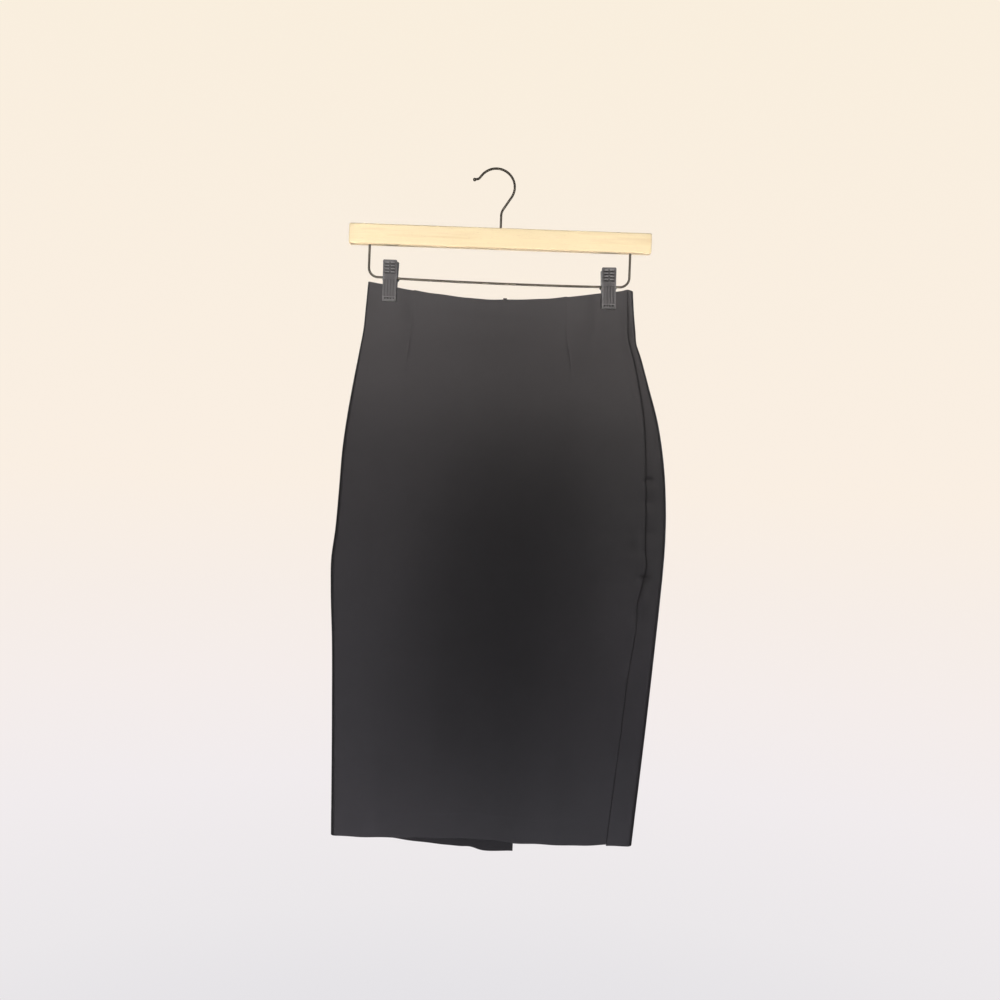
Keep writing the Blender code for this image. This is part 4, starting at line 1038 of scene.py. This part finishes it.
def make_jaw(clip, clip_x, side_name, side, material):
    """side is -1 for the front jaw and 1 for the back one."""
    node = f"{clip}_{side_name}_jaw"
    height = np.broadcast_to(JAW_HEIGHTS[:, None], (len(JAW_HEIGHTS), len(JAW_PLACES)))
    width = jaw_half_width(height, side) * JAW_WIDER[clip]
    x = JAW_PLACES[None, :] / CLIP_HALF * width
    edge = np.minimum(width - np.abs(x), np.minimum(height - JAW_TIP_H, JAW_TOP_H - height))
    near = np.clip(edge / JAW_ROUND, 0.0, 1.0)
    inset = JAW_ROUND * (1 - np.sqrt(1 - (1 - near) ** 2))
    relief = jaw_relief(x, height) * ease(edge / 0.0005)
    lean, raised = BACK_LEAN[clip] if side > 0 else (0.0, 0.0)
    up = (height - JAW_TIP_H) / (JAW_TOP_H - JAW_TIP_H)
    turn = math.radians(CLIP_TURN_DEG[clip])
    at_x = clip_x + x - math.sin(turn) * height - lean * up * math.copysign(1.0, clip_x)
    at_z = RAIL_Z + height + math.sin(turn) * x + raised * ease(up)
    outer_y = side * (read_table(*JAW_OUTER, height) + relief - inset)
    inner_y = side * (read_table(*JAW_INNER, height) + inset)
    outer, inner = (np.stack([at_x, at_y, at_z], axis=-1) for at_y in (outer_y, inner_y))
    whole = np.ones(height.shape, bool)
    jaw = sew_shell(node + "_moulding", outer, inner, x, -height, edge, whole, material)
    # painted light for the material: shade in the relief's hollows, and a highlight on its ridges and along a
    # band near the tip
    tip = 0.45 * soft_box(height - PIT_H, 0.0020, 0.0008)
    for attribute, values in (("painted_hollow_shade", -relief / RIB_DEPTH), ("ridge", relief / RIDGE_LIFT + tip)):
        values = np.clip(values, 0.0, 1.0).ravel()
        mark_points(jaw, attribute, np.concatenate([values, np.zeros(values.size)]))
    if side > 0:
        jaw.data.flip_normals()
    sharpen(jaw.data, 42.0)
    show_instead(jaw, node)
    return jaw


# ---------------------------------------------------------------- materials
class Surface:
    """A material's nodes, built up one call at a time."""

    def __init__(self, name, shader="ShaderNodeBsdfPrincipled"):
        self.material = bpy.data.materials.new(name)
        self.material.use_nodes = True
        self.tree = self.material.node_tree
        self.tree.nodes.clear()
        self.shader = self.node(shader)
        self.node("ShaderNodeOutputMaterial", {"Surface": self.shader.outputs[0]})
        self.place = self.node("ShaderNodeTexCoord").outputs["Object"]

    def feed(self, node, values):
        """Links or values for a node's inputs, by their names or numbers."""
        for key, value in values.items():
            if isinstance(value, bpy.types.NodeSocket):
                self.tree.links.new(value, node.inputs[key])
            else:
                node.inputs[key].default_value = value

    def node(self, kind, values=None, **settings):
        made = self.tree.nodes.new(kind)
        for key, value in settings.items():
            setattr(made, key, value)
        self.feed(made, values or {})
        return made

    def math(self, operation, *values):
        return self.node("ShaderNodeMath", dict(enumerate(values)), operation=operation).outputs[0]

    def times(self, first, second):
        return self.math("MULTIPLY", first, second)

    def plus(self, first, second):
        return self.math("ADD", first, second)

    def scaled(self, vector, scale):
        return self.node("ShaderNodeMapping", {"Vector": vector, "Scale": scale}).outputs[0]

    def axes(self, vector):
        return self.node("ShaderNodeSeparateXYZ", {0: vector}).outputs

    def cloth_mm(self):
        """The cloth's own flat coordinates, in mm."""
        uv = self.node("ShaderNodeUVMap", uv_map="cloth").outputs["UV"]
        return self.scaled(uv, (MM_PER_UV, MM_PER_UV, 1.0))

    def attribute(self, name):
        return self.node("ShaderNodeAttribute", attribute_name=name).outputs["Fac"]

    def noise(self, scale, detail=3.0, roughness=0.55, vector=None):
        vector = self.place if vector is None else vector
        values = {"Vector": vector, "Scale": scale, "Detail": detail, "Roughness": roughness}
        return self.node("ShaderNodeTexNoise", values).outputs["Fac"]

    def stretched_noise(self, stretch, scale, detail, roughness):
        return self.noise(scale, detail, roughness, self.scaled(self.place, stretch))

    def ramp(self, value, *stops):
        made = self.node("ShaderNodeValToRGB", {0: value})
        elements = made.color_ramp.elements
        while len(elements) < len(stops):
            elements.new(0.5)
        for element, (place, colour) in zip(elements, stops):
            element.position = place
            element.color = (*colour, 1.0)
        return made.outputs["Color"]

    def spread(self, value, low, high, start=0.0, end=1.0):
        """start..end to low..high."""
        values = {"Value": value, "From Min": start, "From Max": end, "To Min": low, "To Max": high}
        return self.node("ShaderNodeMapRange", values).outputs["Result"]

    def mix(self, share, first, second):
        values = {"Factor": share, "A": first, "B": second}
        return self.node("ShaderNodeMix", values, data_type="RGBA").outputs["Result"]

    def bump(self, height, strength, distance, under=None):
        values = {"Height": height, "Strength": strength, "Distance": distance}
        if under is not None:
            values["Normal"] = under
        return self.node("ShaderNodeBump", values).outputs["Normal"]

    def finish(self, colour, roughness, normal, **values):
        self.feed(self.shader, {"Base Color": colour, "Roughness": roughness, "Normal": normal})
        self.feed(self.shader, {key.replace("_", " "): value for key, value in values.items()})
        return self.material


def grey(value):
    return (value, value, value, 1.0)


WALE_MM, COURSE_MM = 1.10, 0.82  # the knit's ribs and rows of stitches
TAPE_WARP_MM, TAPE_WEFT_MM = 0.55, 0.50


def knit_heights(surface, flat):
    """Stitches of a double knit: two slanting legs to a wale, one above another. flat: in mm."""
    axes = surface.axes(flat)
    within = surface.math("FRACT", surface.math("DIVIDE", axes["X"], WALE_MM))
    from_middle = surface.math("ABSOLUTE", surface.math("SUBTRACT", within, 0.5))
    course = surface.plus(surface.math("DIVIDE", axes["Y"], COURSE_MM), surface.times(from_middle, 1.5))
    round_course = surface.math("COSINE", surface.times(course, 2 * math.pi))
    leg = surface.math("SINE", surface.times(from_middle, 2 * math.pi))
    return surface.times(leg, surface.plus(surface.times(round_course, 0.32), 0.68))


def cloth_material():
    """Black double knit with lighter flecks and slubs, worn at its edges, with painted shade along its seams
    and a darker, rougher inside.
    """
    surface = Surface("black_double_knit")
    flat = surface.cloth_mm()
    stitch = knit_heights(surface, flat)
    patches = surface.noise(14.0, 4.0, 0.6)
    flecks = surface.noise(900.0, 2.0, 0.6)
    fuzz = surface.noise(2600.0, 2.0, 0.7)
    slubs = surface.noise(1.0, 3.0, 0.6, surface.scaled(flat, (0.10, 0.75, 1.0)))
    seam_shade_and_inside = surface.attribute("seam_shade_and_inside")
    shade = surface.ramp(patches, (0.32, (0.0130, 0.0115, 0.0123)), (0.72, (0.0178, 0.0158, 0.0170)))
    shade = surface.mix(surface.spread(flecks, 0.0, 0.40), shade, grey(0.028))
    shade = surface.mix(surface.spread(slubs, 0.0, 0.30), shade, grey(0.011))
    # lighter at the free edges: wear
    shade = surface.mix(surface.times(surface.attribute("edge_wear_and_highlight"), 0.16), shade, grey(0.036))
    # painted shade: darker along the seams, where shade falls, and darker on the inside face
    shade = surface.mix(surface.times(seam_shade_and_inside, 0.50), shade, grey(0.005))
    roughness = surface.plus(surface.spread(flecks, 0.42, 0.54), surface.times(seam_shade_and_inside, 0.30))
    normal = surface.bump(surface.noise(240.0, 3.0, 0.6), 0.16, 0.0006)
    normal = surface.bump(slubs, 0.10, 0.0004, normal)
    normal = surface.bump(stitch, 0.42, 0.00016, normal)
    normal = surface.bump(fuzz, 0.22, 0.00012, normal)
    return surface.finish(
        shade, roughness, normal, Specular_IOR_Level=0.46, Sheen_Weight=0.05, Sheen_Roughness=0.40,
        Sheen_Tint=(0.92, 0.92, 0.96, 1.0))


def tape_material():
    surface = Surface("black_zip_tape")
    axes = surface.axes(surface.cloth_mm())
    over = surface.math("SINE", surface.times(axes["X"], 2 * math.pi / TAPE_WARP_MM))
    under = surface.math("SINE", surface.times(axes["Y"], 2 * math.pi / TAPE_WEFT_MM))
    flecks = surface.noise(1200.0)
    shade = surface.ramp(flecks, (0.3, (0.013, 0.013, 0.014)), (0.75, (0.026, 0.026, 0.027)))
    normal = surface.bump(surface.times(over, under), 0.5, 0.00012)
    return surface.finish(
        shade, surface.spread(flecks, 0.48, 0.68), normal, Specular_IOR_Level=0.45, Sheen_Weight=0.10,
        Sheen_Roughness=0.5)


def wood_material():
    """Pale, straight-grained wood along the bar, under a clear matt varnish."""
    surface = Surface("pale_wood")
    wide = surface.stretched_noise((1.0, 14.0, 16.0), 9.0, 4.0, 0.6)
    drift = surface.stretched_noise((1.0, 3.0, 5.0), 14.0, 2.0, 0.5)
    fine = surface.stretched_noise((1.0, 28.0, 32.0), 26.0, 4.0, 0.7)
    pores = surface.stretched_noise((1.0, 12.0, 12.0), 190.0, 2.0, 0.6)
    shade = surface.ramp(
        wide, (0.30, (0.70, 0.56, 0.320)), (0.46, (0.80, 0.685, 0.425)),
        (0.58, (0.77, 0.645, 0.392)), (0.74, (0.83, 0.720, 0.470)))
    shade = surface.mix(surface.spread(drift, 0.0, 0.35), shade, (0.73, 0.59, 0.36, 1.0))
    shade = surface.mix(surface.spread(fine, 0.0, 0.30), shade, (0.62, 0.49, 0.27, 1.0))
    dark = surface.ramp(pores, (0.30, (1.0, 1.0, 1.0)), (0.36, (0.0, 0.0, 0.0)))
    shade = surface.mix(surface.times(dark, 0.28), shade, (0.40, 0.25, 0.12, 1.0))
    # painted shade: the underside and its lower rounding are darker and browner, as shade falls there
    height = surface.axes(surface.place)["Z"]
    low = surface.spread(height, 0.0, 1.0, BAR_UNDER_Z + 0.0016, BAR_UNDER_Z + 0.0002)
    shade = surface.mix(surface.times(low, 0.55), shade, (0.52, 0.36, 0.23, 1.0))
    normal = surface.bump(pores, 0.10, 0.0002, surface.bump(fine, 0.12, 0.0003))
    return surface.finish(shade, surface.spread(fine, 0.42, 0.60), normal, Specular_IOR_Level=0.40)


def wire_material():
    surface = Surface("dark_plated_wire")
    drawn = surface.stretched_noise((1.0, 1.0, 0.15), 1500.0, 2.0, 0.5)
    stains = surface.noise(70.0, 4.0, 0.6)
    shade = surface.ramp(
        stains, (0.30, (0.058, 0.051, 0.038)), (0.62, (0.096, 0.084, 0.063)), (0.80, (0.140, 0.122, 0.090)))
    return surface.finish(
        shade, surface.spread(stains, 0.34, 0.52), surface.bump(drawn, 0.12, 0.00008), Metallic=0.55,
        Specular_IOR_Level=0.5)


def plastic_material():
    """Moulded black plastic with a fine spark-eroded grain. Its edges are lighter, partly from rubbing and
    partly a painted highlight; its ridges and the band near the tip get a painted highlight, and its hollows
    a painted shade.
    """
    surface = Surface("black_moulded_plastic")
    grain = surface.noise(3200.0, 2.0, 0.5)
    clouds = surface.noise(160.0, 3.0, 0.6)
    shade = surface.ramp(clouds, (0.30, (0.026, 0.026, 0.0265)), (0.75, (0.040, 0.040, 0.0405)))
    # lighter edges: partly rubbed wear, partly a painted highlight
    rubbed_and_lit_edges = surface.times(surface.attribute("edge_wear_and_highlight"), surface.spread(clouds, 0.15, 0.75))
    shade = surface.mix(rubbed_and_lit_edges, shade, grey(0.140))
    # painted shade in the ribs, grooves and pits
    shade = surface.mix(surface.times(surface.attribute("painted_hollow_shade"), 0.95), shade, grey(0.006))
    # painted highlight on the ridges and along the band near the tip
    shade = surface.mix(surface.times(surface.attribute("ridge"), 0.60), shade, grey(0.260))
    normal = surface.bump(clouds, 0.08, 0.0002, surface.bump(grain, 0.16, 0.00006))
    return surface.finish(shade, surface.spread(clouds, 0.36, 0.50), normal, Specular_IOR_Level=0.46)


def steel_material():
    surface = Surface("spring_steel")
    brushed = surface.stretched_noise((0.06, 1.0, 1.0), 3200.0, 3.0, 0.6)
    stains = surface.noise(240.0, 3.0, 0.6)
    shade = surface.ramp(stains, (0.30, (0.42, 0.42, 0.43)), (0.75, (0.60, 0.60, 0.61)))
    normal = surface.bump(brushed, 0.12, 0.00005)
    return surface.finish(shade, surface.spread(brushed, 0.22, 0.42), normal, Metallic=1.0)


def enamel_material():
    surface = Surface("black_zip_enamel")
    orange_peel = surface.noise(1600.0, 2.0, 0.5)
    rubs = surface.noise(420.0, 4.0, 0.7)
    shade = surface.ramp(rubs, (0.35, (0.008, 0.008, 0.0085)), (0.70, (0.015, 0.015, 0.0155)))
    return surface.finish(
        shade, surface.spread(rubs, 0.30, 0.46), surface.bump(orange_peel, 0.10, 0.00006),
        Specular_IOR_Level=0.40, Coat_Weight=0.10, Coat_Roughness=0.25)


def refinish(node, material, width):
    """A node of the part keeps its shape, with softened edges, and gets its finish."""
    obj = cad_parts[node]
    obj.data.materials.clear()
    obj.data.materials.append(material)
    soft = obj.modifiers.new("soft_edges", "BEVEL")
    soft.width = width
    soft.segments = 3
    soft.limit_method = "ANGLE"
    soft.angle_limit = math.radians(35.0)


# ---------------------------------------------------------------- floor, backdrop and lights
BOWL_FLOOR = -1.72
BOWL_RADIUS = 3.4
BOWL_BEND = 1.3
BOWL_TOP = 4.4
BOWL_SIDES = 72
FLOOR_FALL = 0.4  # how much lower in the tones each metre nearer to the middle counts
TONES_OVER = (-2.5, 1.7)  # the heights over which the tones run
BACKDROP_TONES = (
    (0.00, (0.780, 0.765, 0.792)),
    (0.07, (0.831, 0.807, 0.823)),
    (0.19, (0.880, 0.838, 0.850)),
    (0.30, (0.910, 0.847, 0.828)),
    (0.40, (0.925, 0.850, 0.800)),
    (0.52, (0.955, 0.861, 0.765)),
    (1.00, (0.950, 0.858, 0.728)),
)


def bowl_profile():
    """Distance from the middle and height, from the floor's middle up the wall and over the top."""
    flat = [(radius, BOWL_FLOOR) for radius in np.linspace(0.02, BOWL_RADIUS - BOWL_BEND, 10)]
    turn = [(BOWL_RADIUS - BOWL_BEND + BOWL_BEND * math.sin(a), BOWL_FLOOR + BOWL_BEND * (1 - math.cos(a)))
            for a in np.linspace(0.0, math.pi / 2, 18)[1:]]
    wall = [(BOWL_RADIUS, height) for height in np.linspace(BOWL_FLOOR + BOWL_BEND, BOWL_TOP, 12)[1:]]
    ceiling = [(radius, BOWL_TOP) for radius in np.linspace(BOWL_RADIUS, 0.02, 6)[1:]]
    return flat + turn + wall + ceiling


def backdrop_material():
    """A glowing backdrop whose glow is painted light: paler and warmer towards the top, and lower in tone
    nearer the floor's middle.
    """
    surface = Surface("pale_backdrop", "ShaderNodeEmission")
    level = surface.scaled(surface.place, (1.0, 1.0, 0.0))
    reach = surface.node("ShaderNodeVectorMath", {0: level}, operation="LENGTH").outputs["Value"]
    nearer = surface.math("MULTIPLY_ADD", reach, FLOOR_FALL, -FLOOR_FALL * BOWL_RADIUS)
    height = surface.plus(nearer, surface.axes(surface.place)["Z"])
    tones = surface.ramp(surface.spread(height, 0.0, 1.0, *TONES_OVER), *BACKDROP_TONES)
    surface.feed(surface.shader, {"Color": tones})
    return surface.material


def make_backdrop():
    """A floor that curves up into a wall all round, under a ceiling. It is seen, but lights nothing."""
    turns = [2 * math.pi * step / BOWL_SIDES for step in range(BOWL_SIDES)]
    rings = [[(radius * math.cos(turn), radius * math.sin(turn), height) for turn in turns]
             for radius, height in bowl_profile()]
    bowl = new_object("floor_and_wall", skinned("floor_and_wall", rings, -1), backdrop_material())
    for rays in ("diffuse", "glossy", "transmission", "shadow"):
        setattr(bowl, "visible_" + rays, False)


Lamp = namedtuple("Lamp", "name at aim wide high spread watts colour")
LAMPS = (
    Lamp("bar_front", (0.007, -0.75, 0.30), (0.007, 0, -0.085), 0.44, 0.03, 14, 0.058, (1, 0.98, 0.96)),
    Lamp("bar_under", (0.007, -0.22, -0.85), (0.007, 0, -0.0935), 0.46, 0.03, 6, 0.080, (1, 0.95, 0.90)),
    Lamp("top_left", (-0.30, -0.70, 0), (-0.16, 0, -0.158), 0.25, 0.15, 46, 0.236, (1, 0.92, 0.91)),
    Lamp("top_right", (0.32, -0.70, 0), (0.172, 0, -0.158), 0.25, 0.15, 46, 0.224, (1, 0.91, 0.89)),
    Lamp("left_high", (-0.44, -0.65, -0.36), (-0.19, 0, -0.39), 0.12, 0.35, 50, 0.112, (1, 0.91, 0.94)),
    Lamp("left_low", (-0.44, -0.65, -0.68), (-0.20, 0, -0.68), 0.12, 0.35, 50, 0.148, (0.95, 0.90, 1)),
    Lamp("right_high", (0.46, -0.42, -0.36), (0.20, 0, -0.40), 0.10, 0.35, 40, 0.046, (1, 0.94, 0.93)),
    Lamp("right_low", (0.46, -0.65, -0.68), (0.22, 0, -0.68), 0.12, 0.35, 50, 0.126, (0.97, 0.89, 1)),
    Lamp("hem_left", (-0.26, -0.60, -1.04), (-0.19, 0, -0.90), 0.25, 0.12, 50, 0.157, (0.94, 0.88, 1)),
    Lamp("hem_right", (0.24, -0.60, -1.04), (0.13, 0, -0.90), 0.25, 0.12, 50, 0.135, (0.90, 0.89, 1)),
    Lamp("back_left", (-0.70, 1.25, 0.30), (0, 0, -0.30), 0.90, 0.70, 180, 12, (1, 0.97, 0.93)),
    Lamp("back_right", (0.80, 1.20, -0.30), (0, 0, -0.45), 0.70, 0.90, 180, 8, (0.95, 0.97, 1)),
)


def make_lights():
    for lamp in LAMPS:
        data = bpy.data.lights.new(lamp.name, "AREA")
        data.shape = "RECTANGLE"
        data.size = lamp.wide
        data.size_y = lamp.high
        data.spread = math.radians(lamp.spread)
        data.energy = lamp.watts
        data.color = lamp.colour
        obj = bpy.data.objects.new(lamp.name, data)
        aim = Vector(lamp.aim) - Vector(lamp.at)
        obj.matrix_world = Matrix.Translation(lamp.at) @ aim.to_track_quat("-Z", "Y").to_matrix().to_4x4()
        bpy.context.scene.collection.objects.link(obj)


def make_world():
    world = bpy.data.worlds.new("soft_room")
    world.use_nodes = True
    background = world.node_tree.nodes["Background"]
    background.inputs["Color"].default_value = (0.97, 0.98, 1.0, 1.0)
    background.inputs["Strength"].default_value = 0.13
    bpy.context.scene.world = world
    bpy.context.scene.view_settings.view_transform = "Standard"
    bpy.context.scene.view_settings.look = "None"


# ---------------------------------------------------------------- everything in its place
def main():
    make_camera()
    plastic = plastic_material()
    wire = wire_material()
    for clip, clip_x in CLIP_X.items():
        for side_name, side in (("front", -1.0), ("back", 1.0)):
            make_jaw(clip, clip_x, side_name, side, plastic)
    make_panels(cloth_material())
    make_zip(tape_material())
    make_hook(wire)
    make_rail(wire)
    make_bar(wood_material())
    enamel = enamel_material()
    steel = steel_material()
    refinish("zip_slider", enamel, 0.00022)
    refinish("zip_pull", enamel, 0.00018)
    for clip in CLIP_X:
        refinish(clip + "_spring", steel, 0.00012)
    make_backdrop()
    make_lights()
    make_world()


main()
